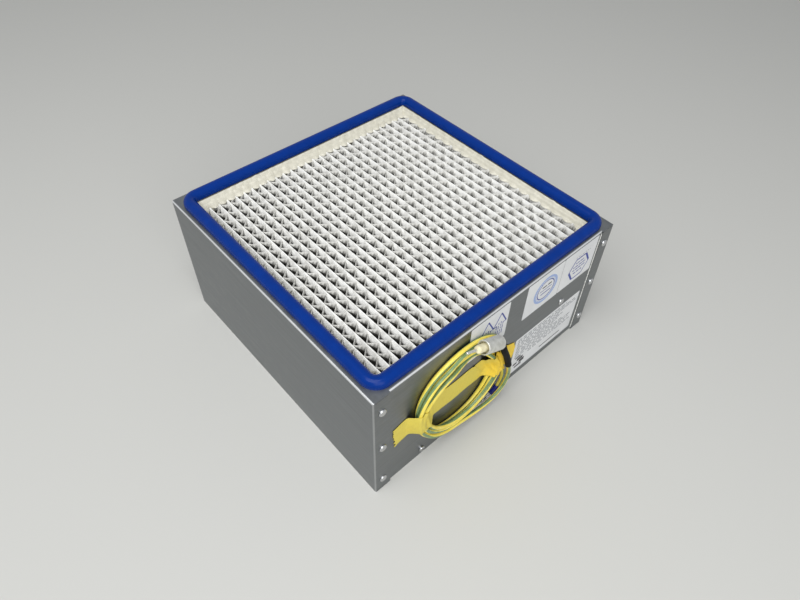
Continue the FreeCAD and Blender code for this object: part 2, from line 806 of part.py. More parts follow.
stampFoot = s.caseHeight - s.stampDrop - s.stampHigh
thirdX = sideFace - s.stampSide - s.stampWide
secondX = thirdX - s.stampGap - s.stampWide
firstX = secondX - s.firstLabelGap - s.firstLabelWide
dataX = sideFace - s.dataSide - s.dataWide
sticker("arrow_sticker", firstX, stampFoot, s.firstLabelWide, s.stampHigh)
sticker("round_stamp_sticker", secondX, stampFoot, s.stampWide, s.stampHigh)
sticker("six_sided_stamp_sticker", thirdX, stampFoot, s.stampWide, s.stampHigh)
sticker("data_sticker", dataX, s.dataZ, s.dataWide, s.dataHigh)


# Earth lead: its coil, its two loose ends and what is on them

def coil():
    """The taped turns as one closed ring with a rounded section, about the Y axis."""
    body = newBody("earth_lead_coil")
    inner = s.coilRadius - s.bundleWide / 2
    outer = s.coilRadius + s.bundleWide / 2
    section = newSketch(body, "coilSection", "XY_Plane")
    polygon(section, [(inner, -s.bundleDeep), (outer, -s.bundleDeep), (outer, 0), (inner, 0)])
    turned = body.newObject("PartDesign::Revolution", "coilTurned")
    turned.Profile = section
    turned.ReferenceAxis = (section, ["V_Axis"])
    turned.Angle = 360
    doc.recompute()
    rims = edgesWhere(turned.Shape, lambda e: near(e.BoundBox.YLength, 0))
    fillet(body, turned, rims, s.bundleRound)
    place(body, leadZero - s.coilX, -(webFace + s.labelThick + s.coilGap), s.coilZ)
    return keep(body)


cornerShare = 0.45  # of the shorter run, taken up by the bend at a corner of a route


def routeWire(points):
    """Straight runs joined by tangent arcs, each as large as its two runs allow."""
    spots = [FreeCAD.Vector(*p) for p in points]
    edges = []
    at = spots[0]
    radii = []
    for before, corner, after in zip(spots, spots[1:], spots[2:]):
        toBack = before - corner
        toNext = after - corner
        turn = math.pi - toBack.getAngle(toNext)
        cut = cornerShare * min(toBack.Length, toNext.Length)
        radii.append(cut / math.tan(turn / 2))
        toBack.normalize()
        toNext.normalize()
        begin = corner + toBack * cut
        end = corner + toNext * cut
        inward = toBack + toNext
        inward.normalize()
        rise = radii[-1] / math.cos(turn / 2) - radii[-1]
        edges.append(Part.LineSegment(at, begin).toShape())
        edges.append(Part.Arc(begin, corner + inward * rise, end).toShape())
        at = end
    edges.append(Part.LineSegment(at, spots[-1]).toShape())
    return Part.Wire(edges), radii


def tube(name, points, diameter):
    path, radii = routeWire(points)
    start = FreeCAD.Vector(*points[0])
    along = FreeCAD.Vector(*points[1]) - start
    disc = Part.Wire(Part.makeCircle(diameter / 2, start, along))
    solid = path.makePipeShell([disc], True, False)
    expected = math.pi * diameter ** 2 / 4 * path.Length
    print(f"{name}: {path.Length:.0f} mm, radii {[round(r) for r in radii]},"
          f" volume {solid.Volume / expected:.4f} of section times length")
    piece = doc.addObject("Part::Feature", name)
    piece.Shape = solid
    piece.Label = name
    return keep(piece)


shellStart = s.pinLong + s.coreBare
plugEnd = shellStart + s.shellLong


def plugAxis(distance):
    """A point of the plug's axis, given from the pin's tip: across, height, out."""
    turn = math.radians(s.plugTurn.value)
    return (distance * math.cos(turn) - s.plugX.value,
            s.plugZ.value - distance * math.sin(turn), s.plugOut.value)


# Points of the loose ends, from the lead's zero: across, height, and out from the panel
sleeveEnd = (0.0, 72.0, 13.7)
sleeveRoute = [plugAxis((plugEnd - s.sleeveIn).value),
               plugAxis((plugEnd + s.sleeveStraight).value),
               (-12.5, 106.0, 13.0), (-5.2, 89.0, 13.7), sleeveEnd]
tailRoute = [sleeveEnd, (4.9, 56.0, 13.7), (9.8, 43.0, 13.4), (12.5, 27.0, 13.0),
             (6.0, 14.0, 12.9), (-9.0, 8.5, 12.8), (-30.0, 10.5, 12.2), (-49.0, 16.5, 11.8),
             (-64.0, 23.0, 10.5), (-75.0, 30.0, 9.0), (-82.0, 37.5, 7.0)]
startRoute = [(5.9, 18.0, 3.3), (10.8, 22.4, 3.3), (12.4, 32.5, 3.3), (9.0, 45.0, 3.2),
              (3.5, 57.0, 3.0), (-1.0, 67.0, 2.9)]


def fromPanel(route):
    return [(leadZero.value + x, -webFace.value - out, z) for x, z, out in route]


coil()
tube("earth_lead_tail", fromPanel(tailRoute), s.leadDia.value)
tube("earth_lead_start", fromPanel(startRoute), s.leadDia.value)
tube("lead_sleeve", fromPanel(sleeveRoute), s.sleeveDia.value)


# Ring terminal and plug: each piece is made along its own X axis and laid on the panel

def laid(body, x, z, out, degrees):
    """Lay a piece on the front panel, turned clockwise as seen from the front."""
    place(body, leadZero + x, -(webFace + out), z)
    body.Placement.Rotation = FreeCAD.Rotation(FreeCAD.Vector(0, 1, 0), degrees.value)
    body.setExpression("Placement.Rotation.Angle", degrees.text)
    return keep(body)


def turnedAlong(name, outline):
    """A round piece: half its section, revolved about its own X axis."""
    body = newBody(name)
    sketch = newSketch(body, name + "Section", "XZ_Plane")
    polygon(sketch, outline)
    turned = body.newObject("PartDesign::Revolution", name + "Turned")
    turned.Profile = sketch
    turned.ReferenceAxis = (sketch, ["H_Axis"])
    turned.Angle = 360
    doc.recompute()
    return body, turned


def terminal():
    out = s.barrelDia / 2 + s.terminalGap
    radius = s.barrelDia / 2
    barrel, turned = turnedAlong("terminal_barrel", [
        (0, 0), (s.barrelLong, 0), (s.barrelLong, radius), (0, radius)])
    mouth = edgesWhere(turned.Shape, lambda e: near(e.BoundBox.XLength, 0)
                       and near(e.BoundBox.ZLength, s.barrelDia))
    fillet(barrel, turned, mouth, s.barrelRound)
    laid(barrel, s.terminalX, s.terminalZ, out, s.terminalTurn)

    tongue = newBody("terminal_tongue")
    foot = s.barrelDia / 2 - s.tongueThick
    reach = s.barrelLong + s.tongueReach
    ring = newSketch(tongue, "tongueRing", "XZ_Plane", -foot)
    circle(ring, reach, 0, s.tongueDia)
    pad(tongue, ring, s.tongueThick, reverse=True)
    strap = newSketch(tongue, "tongueStrap", "XZ_Plane", -foot)
    rectangle(strap, s.barrelLong, -s.tongueNeck / 2, reach, s.tongueNeck / 2)
    pad(tongue, strap, s.tongueThick, reverse=True)
    hole = newSketch(tongue, "tongueEye", "XZ_Plane", -foot)
    circle(hole, reach, 0, s.tongueHole)
    cutThrough(tongue, hole)
    laid(tongue, s.terminalX, s.terminalZ, out, s.terminalTurn)


def plug():
    pinRadius = s.pinDia / 2
    coreRadius = s.coreDia / 2
    bore = s.shellDia / 2 - s.shellWall
    footStart = shellStart + s.coreInside
    footEnd = footStart + s.coreFoot
    outlet = s.sleeveDia / 2 + s.sleeveGap
    pin, turned = turnedAlong("plug_pin", [
        (0, 0), (s.pinLong, 0), (s.pinLong, pinRadius), (0, pinRadius)])
    tip = edgesWhere(turned.Shape, lambda e: near(e.BoundBox.XMax, 0)
                     and near(e.BoundBox.ZLength, s.pinDia))
    fillet(pin, turned, tip, s.pinRound)
    laid(pin, -s.plugX, s.plugZ, s.plugOut, s.plugTurn)

    core, turned = turnedAlong("plug_core", [
        (s.pinLong, 0), (footEnd, 0), (footEnd, bore), (footStart, bore),
        (footStart, coreRadius), (s.pinLong, coreRadius)])
    nose = edgesWhere(turned.Shape, lambda e: near(e.BoundBox.XMax, s.pinLong)
                      and near(e.BoundBox.ZLength, s.coreDia))
    fillet(core, turned, nose, s.coreRound)
    laid(core, -s.plugX, s.plugZ, s.plugOut, s.plugTurn)

    shell, turned = turnedAlong("plug_shell", [
        (shellStart, bore), (plugEnd - s.shellEnd, bore), (plugEnd - s.shellEnd, outlet),
        (plugEnd, outlet), (plugEnd, s.shellDia / 2), (shellStart, s.shellDia / 2)])
    rims = edgesWhere(turned.Shape, lambda e: near(e.BoundBox.XLength, 0)
                      and near(e.BoundBox.ZLength, s.shellDia))
    fillet(shell, turned, rims, s.shellRound)
    laid(shell, -s.plugX, s.plugZ, s.plugOut, s.plugTurn)


terminal()
plug()


# Tape: one strip over both sides of the coil, stuck down between them

def holdDownTape():
    body = newBody("hold_down_tape")
    low = s.labelThick + s.tapeLift
    high = s.labelThick + s.coilGap + s.bundleDeep + s.tapeGap
    start = s.tapeStart - sideFace
    end = s.tapeEnd - sideFace
    reach = s.coilRadius - s.tapeIn
    stations = [(start, low)]
    for side in (-1, 1):
        middle = leadZero - s.coilX + reach * side
        stations += [
            (middle - s.tapeHump - s.tapeSlope, low),
            (middle - s.tapeHump, high),
            (middle + s.tapeHump, high),
            (middle + s.tapeHump + s.tapeSlope, low),
        ]
    stations.append((end, low))
    inner = [(x, -webFace - out) for x, out in stations]
    outer = [(x, -webFace - out - s.tapeThick) for x, out in reversed(stations)]
    band = newSketch(body, "tapeBand", "XY_Plane", s.tapeZ - s.tapeWidth / 2)
    polygon(band, inner + outer)
    pad(body, band, s.tapeWidth)
    return keep(body)


holdDownTape()
doc.recompute()

# Checks before anything is written
broken = [o.Label for o in doc.Objects if "Invalid" in o.State or "Error" in o.State]
if broken:
    raise RuntimeError(f"failed objects: {broken}")
for node in nodes:
    if node.Shape.isNull() or not node.Shape.isValid():
        raise RuntimeError(f"{node.Label} has no valid shape")

for node in nodes:
    node.Shape.exportStep(f"parts/{node.Label}.step")
print(f"{len(nodes)} sub-parts written")
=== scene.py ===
import bpy
import math
import random
from mathutils import Matrix, Vector, noise


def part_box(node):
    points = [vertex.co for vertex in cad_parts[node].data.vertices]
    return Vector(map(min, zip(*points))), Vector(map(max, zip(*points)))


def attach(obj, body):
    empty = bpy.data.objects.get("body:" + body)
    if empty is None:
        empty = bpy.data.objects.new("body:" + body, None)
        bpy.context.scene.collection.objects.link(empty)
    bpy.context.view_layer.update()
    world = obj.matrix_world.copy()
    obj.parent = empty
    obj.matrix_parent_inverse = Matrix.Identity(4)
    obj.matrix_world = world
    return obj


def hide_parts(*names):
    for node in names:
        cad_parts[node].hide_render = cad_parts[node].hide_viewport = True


# Deep-pleat filter cell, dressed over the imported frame. Metres; the front is -Y, up is +Z.

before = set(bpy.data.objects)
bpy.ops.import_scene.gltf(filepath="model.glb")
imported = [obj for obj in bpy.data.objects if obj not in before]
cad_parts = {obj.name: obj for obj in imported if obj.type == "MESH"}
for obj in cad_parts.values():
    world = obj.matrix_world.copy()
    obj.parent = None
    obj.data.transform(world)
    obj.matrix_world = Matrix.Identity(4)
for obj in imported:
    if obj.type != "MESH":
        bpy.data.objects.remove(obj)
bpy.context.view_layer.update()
mm = 0.001
print("frame loaded")


# Camera, set to the photograph's view

photoCamera = {
    "place": (-0.3064, -0.3459, 0.5567),
    "azimuth": -44.3394,
    "elevation": 46.8278,
    "roll": 2.5266,
    "lens": 28.34,
    "shift": (-0.0160, -0.0335),
}


def cameraTurn(azimuth, elevation, roll):
    a, e, r = (math.radians(v) for v in (azimuth, elevation, roll))
    back = Vector((math.sin(a) * math.cos(e), -math.cos(a) * math.cos(e), math.sin(e)))
    level = (-back).cross(Vector((0, 0, 1))).normalized()
    upright = level.cross(-back)
    right = level * math.cos(r) + upright * math.sin(r)
    up = upright * math.cos(r) - level * math.sin(r)
    return Matrix((right, up, back)).transposed()


def setCamera(view):
    data = bpy.data.cameras.new("photoCamera")
    data.sensor_width = 36
    data.lens = view["lens"]
    data.shift_x, data.shift_y = view["shift"]
    data.clip_start = 0.01
    camera = bpy.data.objects.new("photoCamera", data)
    camera.matrix_world = Matrix.Translation(view["place"]) @ cameraTurn(
        view["azimuth"], view["elevation"], view["roll"]).to_4x4()
    bpy.context.collection.objects.link(camera)
    bpy.context.scene.camera = camera


setCamera(photoCamera)
bpy.context.view_layer.update()
print("camera set")


# Small helpers for meshes and materials

def toLinear(hexColour):
    channels = [int(hexColour[i:i + 2], 16) / 255 for i in (1, 3, 5)]
    return [c / 12.92 if c <= 0.04045 else ((c + 0.055) / 1.055) ** 2.4 for c in channels] + [1.0]


def addNode(tree, kind, settings=None, links=None):
    node = tree.nodes.new(kind)
    for key, value in (settings or {}).items():
        if isinstance(key, int) or key in node.inputs:
            node.inputs[key].default_value = value
        else:
            setattr(node, key, value)
    for key, socket in (links or {}).items():
        tree.links.new(socket, node.inputs[key])
    return node


def newMaterial(name, **shaderSettings):
    material = bpy.data.materials.new(name)
    material.use_nodes = True
    tree = material.node_tree
    shader = tree.nodes["Principled BSDF"]
    for key, value in shaderSettings.items():
        shader.inputs[key.replace("_", " ")].default_value = value
    return material, tree, shader


def joinShader(tree, shader, **sockets):
    for key, socket in sockets.items():
        tree.links.new(socket, shader.inputs[key.replace("_", " ")])


def rise(value, low, high):
    t = min(max((value - low) / (high - low), 0.0), 1.0)
    return t * t * (3 - 2 * t)


def hump(value, start, full, ease, end):
    # Rises from start to full, stays, and falls again from ease to end
    return rise(value, start, full) * (1 - rise(value, ease, end))


def newPiece(name, verts, faces, materials, slotOf=None, smooth=True):
    mesh = bpy.data.meshes.new(name)
    mesh.from_pydata([tuple(v) for v in verts], [], faces)
    for material in materials:
        mesh.materials.append(material)
    if slotOf is not None:
        mesh.polygons.foreach_set("material_index", slotOf)
    mesh.polygons.foreach_set("use_smooth", [smooth] * len(faces))
    mesh.update()
    piece = bpy.data.objects.new(name, mesh)
    bpy.context.collection.objects.link(piece)
    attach(piece, "root")
    return piece


def gridFaces(columns, rows):
    # Squares between the points of a grid that was listed column by column
    corners = [c * (rows + 1) + r for c in range(columns) for r in range(rows)]
    return [(a, a + 1, a + rows + 2, a + rows + 1) for a in corners]


def dress(material, *nodes):
    for name in nodes:
        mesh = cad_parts[name].data
        mesh.materials.clear()
        mesh.materials.append(material)


# Case: hot-dip galvanised sheet, rolled smooth and folded. It gives a dull grey sheen with
# faint cloudy spangle and long rolling streaks, and a highlight painted along its folds.

sheetLook = {
    "light": "#85888A",
    "dark": "#75787A",
    "bend": "#F2F3F4",     # painted highlight along the folds, where the sheet catches the light
    "upright": 0.3,        # how much of the painted highlight the upright folds show, less than the top folds
    "roughness": (0.34, 0.46),
    "spangle": 14.0,       # mm across a cloud of zinc crystals
    "streak": 1.6,         # mm between rolling streaks, drawn coarse enough to show
    "grain": 0.5,          # mm, fine matt grain
}


def galvanisedSheet():
    material, tree, shader = newMaterial("galvanised sheet steel, rolled", Metallic=1.0)
    place = addNode(tree, "ShaderNodeTexCoord")
    clouds = addNode(tree, "ShaderNodeTexNoise",
                     {"Scale": 1 / (sheetLook["spangle"] * mm), "Detail": 4.0, "Roughness": 0.6},
                     {"Vector": place.outputs["Object"]})
    stretch = addNode(tree, "ShaderNodeMapping", {"Scale": (0.02, 0.02, 1.0)},
                      {"Vector": place.outputs["Object"]})
    streaks = addNode(tree, "ShaderNodeTexNoise",
                      {"Scale": 1 / (sheetLook["streak"] * mm), "Detail": 2.0},
                      {"Vector": stretch.outputs["Vector"]})
    grain = addNode(tree, "ShaderNodeTexNoise",
                    {"Scale": 1 / (sheetLook["grain"] * mm), "Detail": 2.0},
                    {"Vector": place.outputs["Object"]})
    both = addNode(tree, "ShaderNodeMix", {"data_type": "FLOAT", "Factor": 0.4},
                   {"A": clouds.outputs["Fac"], "B": streaks.outputs["Fac"]})
    tone = addNode(tree, "ShaderNodeMapRange", {"From Min": 0.36, "From Max": 0.64},
                   {"Value": both.outputs["Result"]})
    colour = addNode(tree, "ShaderNodeMix",
                     {"data_type": "RGBA", 6: toLinear(sheetLook["dark"]),
                      7: toLinear(sheetLook["light"])}, {"Factor": tone.outputs["Result"]})
    # A normal that leans away from all three axes marks a fold's outside; there a highlight is painted
    # in, strongest where the fold faces up
    facing = addNode(tree, "ShaderNodeNewGeometry")
    lean = addNode(tree, "ShaderNodeVectorMath", {"operation": "ABSOLUTE"},
                   {0: facing.outputs["Normal"]})
    leanAxes = addNode(tree, "ShaderNodeSeparateXYZ", None, {"Vector": lean.outputs["Vector"]})
    most = addNode(tree, "ShaderNodeMath", {"operation": "MAXIMUM"},
                   {0: leanAxes.outputs["X"], 1: leanAxes.outputs["Y"]})
    most = addNode(tree, "ShaderNodeMath", {"operation": "MAXIMUM"},
                   {0: most.outputs["Value"], 1: leanAxes.outputs["Z"]})
    level = addNode(tree, "ShaderNodeMapRange",
                    {"From Max": 0.25, "To Min": sheetLook["upright"], "To Max": 1.0},
                    {"Value": leanAxes.outputs["Z"]})
    fold = addNode(tree, "ShaderNodeMapRange", {"From Min": 0.985, "From Max": 0.86},
                   {"Value": most.outputs["Value"], "To Max": level.outputs["Result"]})
    # Painted highlight: the folds' colour is mixed towards near white
    colour = addNode(tree, "ShaderNodeMix", {"data_type": "RGBA", 7: toLinear(sheetLook["bend"])},
                     {"Factor": fold.outputs["Result"], 6: colour.outputs[2]})
    low, high = sheetLook["roughness"]
    dull = addNode(tree, "ShaderNodeMapRange",
                   {"From Min": 0.3, "From Max": 0.7, "To Min": low, "To Max": high},
                   {"Value": clouds.outputs["Fac"]})
    bump = addNode(tree, "ShaderNodeBump", {"Strength": 0.06, "Distance": 0.05 * mm},
                   {"Height": grain.outputs["Fac"]})
    joinShader(tree, shader, Base_Color=colour.outputs[2], Roughness=dull.outputs["Result"],
               Normal=bump.outputs["Normal"])
    return material


# Rivets and the screw: bright zinc plate over drawn wire, with a smooth reflection

fastenerLook = {
    "zinc": "#D6D7D8",
    "shade": "#B0B1B3",
    "roughness": 0.24,
    "scuff": 1.2,          # mm between scuffs
}


def zincPlate():
    material, tree, shader = newMaterial("steel, zinc plated", Metallic=1.0,
                                         Roughness=fastenerLook["roughness"])
    place = addNode(tree, "ShaderNodeTexCoord")
    scuffs = addNode(tree, "ShaderNodeTexNoise",
                     {"Scale": 1 / (fastenerLook["scuff"] * mm), "Detail": 3.0},
                     {"Vector": place.outputs["Object"]})
    colour = addNode(tree, "ShaderNodeMix",
                     {"data_type": "RGBA", 6: toLinear(fastenerLook["shade"]),
                      7: toLinear(fastenerLook["zinc"])}, {"Factor": scuffs.outputs["Fac"]})
    joinShader(tree, shader, Base_Color=colour.outputs[2])
    return material


# Gasket: two-part polyurethane, poured and cured as one bead, with a skin that shines

gasketLook = {
    "blue": "#00338A",
    "deep": "#002A76",
    "roughness": 0.24,
    "specular": 0.14,
    "ripple": 9.0,         # mm between the pour's slow ripples
    "pores": 0.9,          # mm between pinholes in the skin, drawn coarse enough to show
}


def pouredGasket():
    material, tree, shader = newMaterial("polyurethane gasket, poured", IOR=1.48,
                                         Roughness=gasketLook["roughness"],
                                         Specular_IOR_Level=gasketLook["specular"])
    place = addNode(tree, "ShaderNodeTexCoord")
    ripple = addNode(tree, "ShaderNodeTexNoise",
                     {"Scale": 1 / (gasketLook["ripple"] * mm), "Detail": 2.0},
                     {"Vector": place.outputs["Object"]})
    pores = addNode(tree, "ShaderNodeTexNoise",
                    {"Scale": 1 / (gasketLook["pores"] * mm), "Detail": 2.0},
                    {"Vector": place.outputs["Object"]})
    height = addNode(tree, "ShaderNodeMath", {"operation": "MULTIPLY_ADD", 1: 0.08},
                     {0: pores.outputs["Fac"], 2: ripple.outputs["Fac"]})
    colour = addNode(tree, "ShaderNodeMix",
                     {"data_type": "RGBA", 6: toLinear(gasketLook["deep"]),
                      7: toLinear(gasketLook["blue"])}, {"Factor": ripple.outputs["Fac"]})
    bump = addNode(tree, "ShaderNodeBump", {"Strength": 0.25, "Distance": 0.4 * mm},
                   {"Height": height.outputs["Value"]})
    joinShader(tree, shader, Base_Color=colour.outputs[2], Normal=bump.outputs["Normal"])
    return material


# Medium and separators: wet-laid glass paper, matt white at the crests. Shade is painted in
# as a grey that deepens below the crests into the folds.

paperLook = {
    "crest": "#FAFAF7",
    # the painted shade's grey, reached deep in the folds
    "fold": "#34332F",
    "fleck": "#D9D8D3",
    "fibre": 0.7,          # mm between clumps of fibre, drawn coarse enough to show
    "cloud": 6.0,          # mm between thin and thick places
    "faces": (8.0, 142.0),  # mm, the pack's two faces
    "shadeStart": 1.6,     # mm below the crests where the painted shade begins
    "shadeEnd": 11.0,      # mm below the crests where it is full
    "separator": "#E6E5E0",
    "separatorEnd": 8.0,   # mm below the faces where the separators' painted shade is full
    "ribs": 2.36,          # mm between the fine ribs across the separators, drawn as bumps with painted shade
    # the painted shade's grey in the streaks along the ribs
    "ribShade": "#8C8B86",
    "ribbed": 0.8,         # how strongly the ribs and their painted shade show
}


def glassPaper(name, crest, shadeStart, shadeEnd, ribbed=0.0):
    material, tree, shader = newMaterial(name, Roughness=0.92, IOR=1.45, Specular_IOR_Level=0.2)
    place = addNode(tree, "ShaderNodeTexCoord")
    axes = addNode(tree, "ShaderNodeSeparateXYZ", None, {"Vector": place.outputs["Object"]})
    low, high = (v * mm for v in paperLook["faces"])
    below = addNode(tree, "ShaderNodeMath", {"operation": "SUBTRACT", 0: high},
                    {1: axes.outputs["Z"]})
    above = addNode(tree, "ShaderNodeMath", {"operation": "SUBTRACT", 1: low},
                    {0: axes.outputs["Z"]})
    depth = addNode(tree, "ShaderNodeMath", {"operation": "MINIMUM"},
                    {0: below.outputs["Value"], 1: above.outputs["Value"]})
    # Painted shade: the paper greys with depth below the pack's faces
    shade = addNode(tree, "ShaderNodeMapRange",
                    {"interpolation_type": "SMOOTHERSTEP", "From Min": shadeStart * mm,
                     "From Max": shadeEnd * mm}, {"Value": depth.outputs["Value"]})
    fibre = addNode(tree, "ShaderNodeTexNoise",
                    {"Scale": 1 / (paperLook["fibre"] * mm), "Detail": 3.0},
                    {"Vector": place.outputs["Object"]})
    cloud = addNode(tree, "ShaderNodeTexNoise",
                    {"Scale": 1 / (paperLook["cloud"] * mm), "Detail": 2.0},
                    {"Vector": place.outputs["Object"]})
    mottle = addNode(tree, "ShaderNodeMapRange", {"From Min": 0.45, "From Max": 0.75},
                     {"Value": cloud.outputs["Fac"]})
    white = addNode(tree, "ShaderNodeMix",
                    {"data_type": "RGBA", 6: toLinear(crest), 7: toLinear(paperLook["fleck"])},
                    {"Factor": mottle.outputs["Result"]})
    height = fibre.outputs["Fac"]
    if ribbed:
        ribs = addNode(tree, "ShaderNodeTexWave",
                       {"bands_direction": "Y", "Scale": math.pi / 10 / (paperLook["ribs"] * mm),
                        "Distortion": 1.2, "Detail": 1.0}, {"Vector": place.outputs["Object"]})
        # The free edge stays plain, and the ribs with their painted shade begin just below it
        under = addNode(tree, "ShaderNodeMapRange",
                        {"From Min": 0.4 * mm, "From Max": 2.5 * mm, "To Max": ribbed},
                        {"Value": depth.outputs["Value"]})
        shown = addNode(tree, "ShaderNodeMath", {"operation": "MULTIPLY"},
                        {0: ribs.outputs["Fac"], 1: under.outputs["Result"]})
        # Painted shade: the ribs darken the paper in streaks
        white = addNode(tree, "ShaderNodeMix",
                        {"data_type": "RGBA", 7: toLinear(paperLook["ribShade"])},
                        {"Factor": shown.outputs["Value"], 6: white.outputs[2]})
        height = addNode(tree, "ShaderNodeMath", {"operation": "MULTIPLY_ADD", 1: -2.5},
                         {0: shown.outputs["Value"], 2: height}).outputs["Value"]
    colour = addNode(tree, "ShaderNodeMix", {"data_type": "RGBA", 7: toLinear(paperLook["fold"])},
                     {"Factor": shade.outputs["Result"], 6: white.outputs[2]})
    bump = addNode(tree, "ShaderNodeBump", {"Strength": 0.35, "Distance": 0.12 * mm},
                   {"Height": height})
    joinShader(tree, shader, Base_Color=colour.outputs[2], Normal=bump.outputs["Normal"])
    return material


# Potting: cream polyurethane poured round the pack; it cures smooth with a waxy sheen

pottingLook = {
    "cream": "#E2DFD0",
    "shade": "#C2BEAE",
    "roughness": 0.42,
    "swell": 7.0,          # mm between the swells where it wets the pleats
}


def pouredPotting():
    material, tree, shader = newMaterial("polyurethane potting, poured", IOR=1.5,
                                         Roughness=pottingLook["roughness"])
    place = addNode(tree, "ShaderNodeTexCoord")
    swell = addNode(tree, "ShaderNodeTexNoise",
                    {"Scale": 1 / (pottingLook["swell"] * mm), "Detail": 3.0},
                    {"Vector": place.outputs["Object"]})
    colour = addNode(tree, "ShaderNodeMix",
                     {"data_type": "RGBA", 6: toLinear(pottingLook["shade"]),
                      7: toLinear(pottingLook["cream"])}, {"Factor": swell.outputs["Fac"]})
    bump = addNode(tree, "ShaderNodeBump", {"Strength": 0.5, "Distance": 0.8 * mm},
                   {"Height": swell.outputs["Fac"]})
    joinShader(tree, shader, Base_Color=colour.outputs[2], Normal=bump.outputs["Normal"])
    return material


# Moulded, extruded and printed parts share one mottled finish: two tones in patches of a size
# in mm, and a bump of a height in mm

def mottled(name, light, dark, size, roughness, bumpHeight, metallic=0.0, specular=0.5):
    material, tree, shader = newMaterial(name, Roughness=roughness, Metallic=metallic,
                                         Specular_IOR_Level=specular)
    place = addNode(tree, "ShaderNodeTexCoord")
    patch = addNode(tree, "ShaderNodeTexNoise", {"Scale": 1 / (size * mm), "Detail": 3.0},
                    {"Vector": place.outputs["Object"]})
    tone = addNode(tree, "ShaderNodeMapRange", {"From Min": 0.35, "From Max": 0.65},
                   {"Value": patch.outputs["Fac"]})
    colour = addNode(tree, "ShaderNodeMix",
                     {"data_type": "RGBA", 6: toLinear(dark), 7: toLinear(light)},
                     {"Factor": tone.outputs["Result"]})
    bump = addNode(tree, "ShaderNodeBump", {"Strength": 0.4, "Distance": bumpHeight * mm},
                   {"Height": patch.outputs["Fac"]})
    joinShader(tree, shader, Base_Color=colour.outputs[2], Normal=bump.outputs["Normal"])
    return material


sheetSteel = galvanisedSheet()
zinc = zincPlate()
gasketBlue = pouredGasket()
mediumPaper = glassPaper("glass-fibre paper, wet laid and pleated", paperLook["crest"],
                         paperLook["shadeStart"], paperLook["shadeEnd"])
separatorPaper = glassPaper("glass-fibre paper, corrugated", paperLook["separator"], 0.0,
                            paperLook["separatorEnd"], ribbed=paperLook["ribbed"])
potting = pouredPotting()
# PVC insulation, extruded: bright and slightly soft, with a low even gloss
yellowPvc = mottled("PVC insulation, extruded, yellow", "#F6E468", "#EFD850", 6.0, 0.34, 0.02)
greenPvc = mottled("PVC insulation, extruded, green", "#829C6C", "#6B8656", 6.0, 0.34, 0.02)
# Polyolefin sleeve, shrunk on: black with a dull sheen and shallow wrinkles
shrunkSleeve = mottled("polyolefin sleeve, shrunk", "#131113", "#0B0A0B", 3.0, 0.6, 0.15,
                       specular=0.12)
# Aluminium shell over the plug, drawn and creased: a soft metal shine, broken by fine creases
creasedShell = mottled("aluminium shell, drawn and creased", "#E2E2DC", "#CFCFC8", 4.5, 0.38,
                       0.45, metallic=0.7)
# ABS insulator, moulded: cream and glossy
creamAbs = mottled("ABS insulator, moulded", "#EFE7C2", "#E2D8AE", 4.0, 0.3, 0.03)
# Tinned brass, stamped or turned: bright and a little soft
tinned = mottled("brass, tin plated", "#EDEDE9", "#D4D4D0", 1.5, 0.32, 0.02, metallic=0.9)
# Silicone sealer, wiped: off-white and satin
driedSealer = mottled("silicone sealer, wiped", "#EDEDEA", "#DDDDD8", 1.0, 0.5, 0.1)
# Nylon barrel, moulded: deep blue with a clean gloss
blueNylon = mottled("nylon barrel, moulded", "#12208A", "#0C1768", 3.0, 0.34, 0.03)
# Polypropylene label film, extruded and coated: white, smooth and satin
labelFilm = mottled("polypropylene label film, white", "#E4E5E6", "#DCDDDF", 20.0, 0.45, 0.01)
# Printing ink, dried: matt, flat colour with a faint unevenness
printBlue = mottled("printing ink, blue", "#2B3A92", "#3A4A9E", 1.5, 0.5, 0.005)
printPaleBlue = mottled("printing ink, pale blue", "#8FA6D6", "#A2B6DE", 1.5, 0.5, 0.005)
printGrey = mottled("printing ink, grey", "#70747C", "#80848C", 1.5, 0.5, 0.005)
printBlack = mottled("printing ink, black", "#2B2B2E", "#38383B", 1.5, 0.5, 0.005)

# Crepe paper tape: yellow and matt, with fine creases across it. One layer lets the grey
# below dull it, and where it lies double it is a deeper yellow.

tapeLook = {
    "single": "#DFCD55",
    "double": "#F4D03C",
    "crease": "#D0BC46",
    "doubled": (-34.0, 0.0),     # mm across the panel, from where the single layer ends
    "crepe": 1.4,                # mm between creases, drawn coarse enough to show
    "patch": 16.0,               # mm across the places where it lies double
}


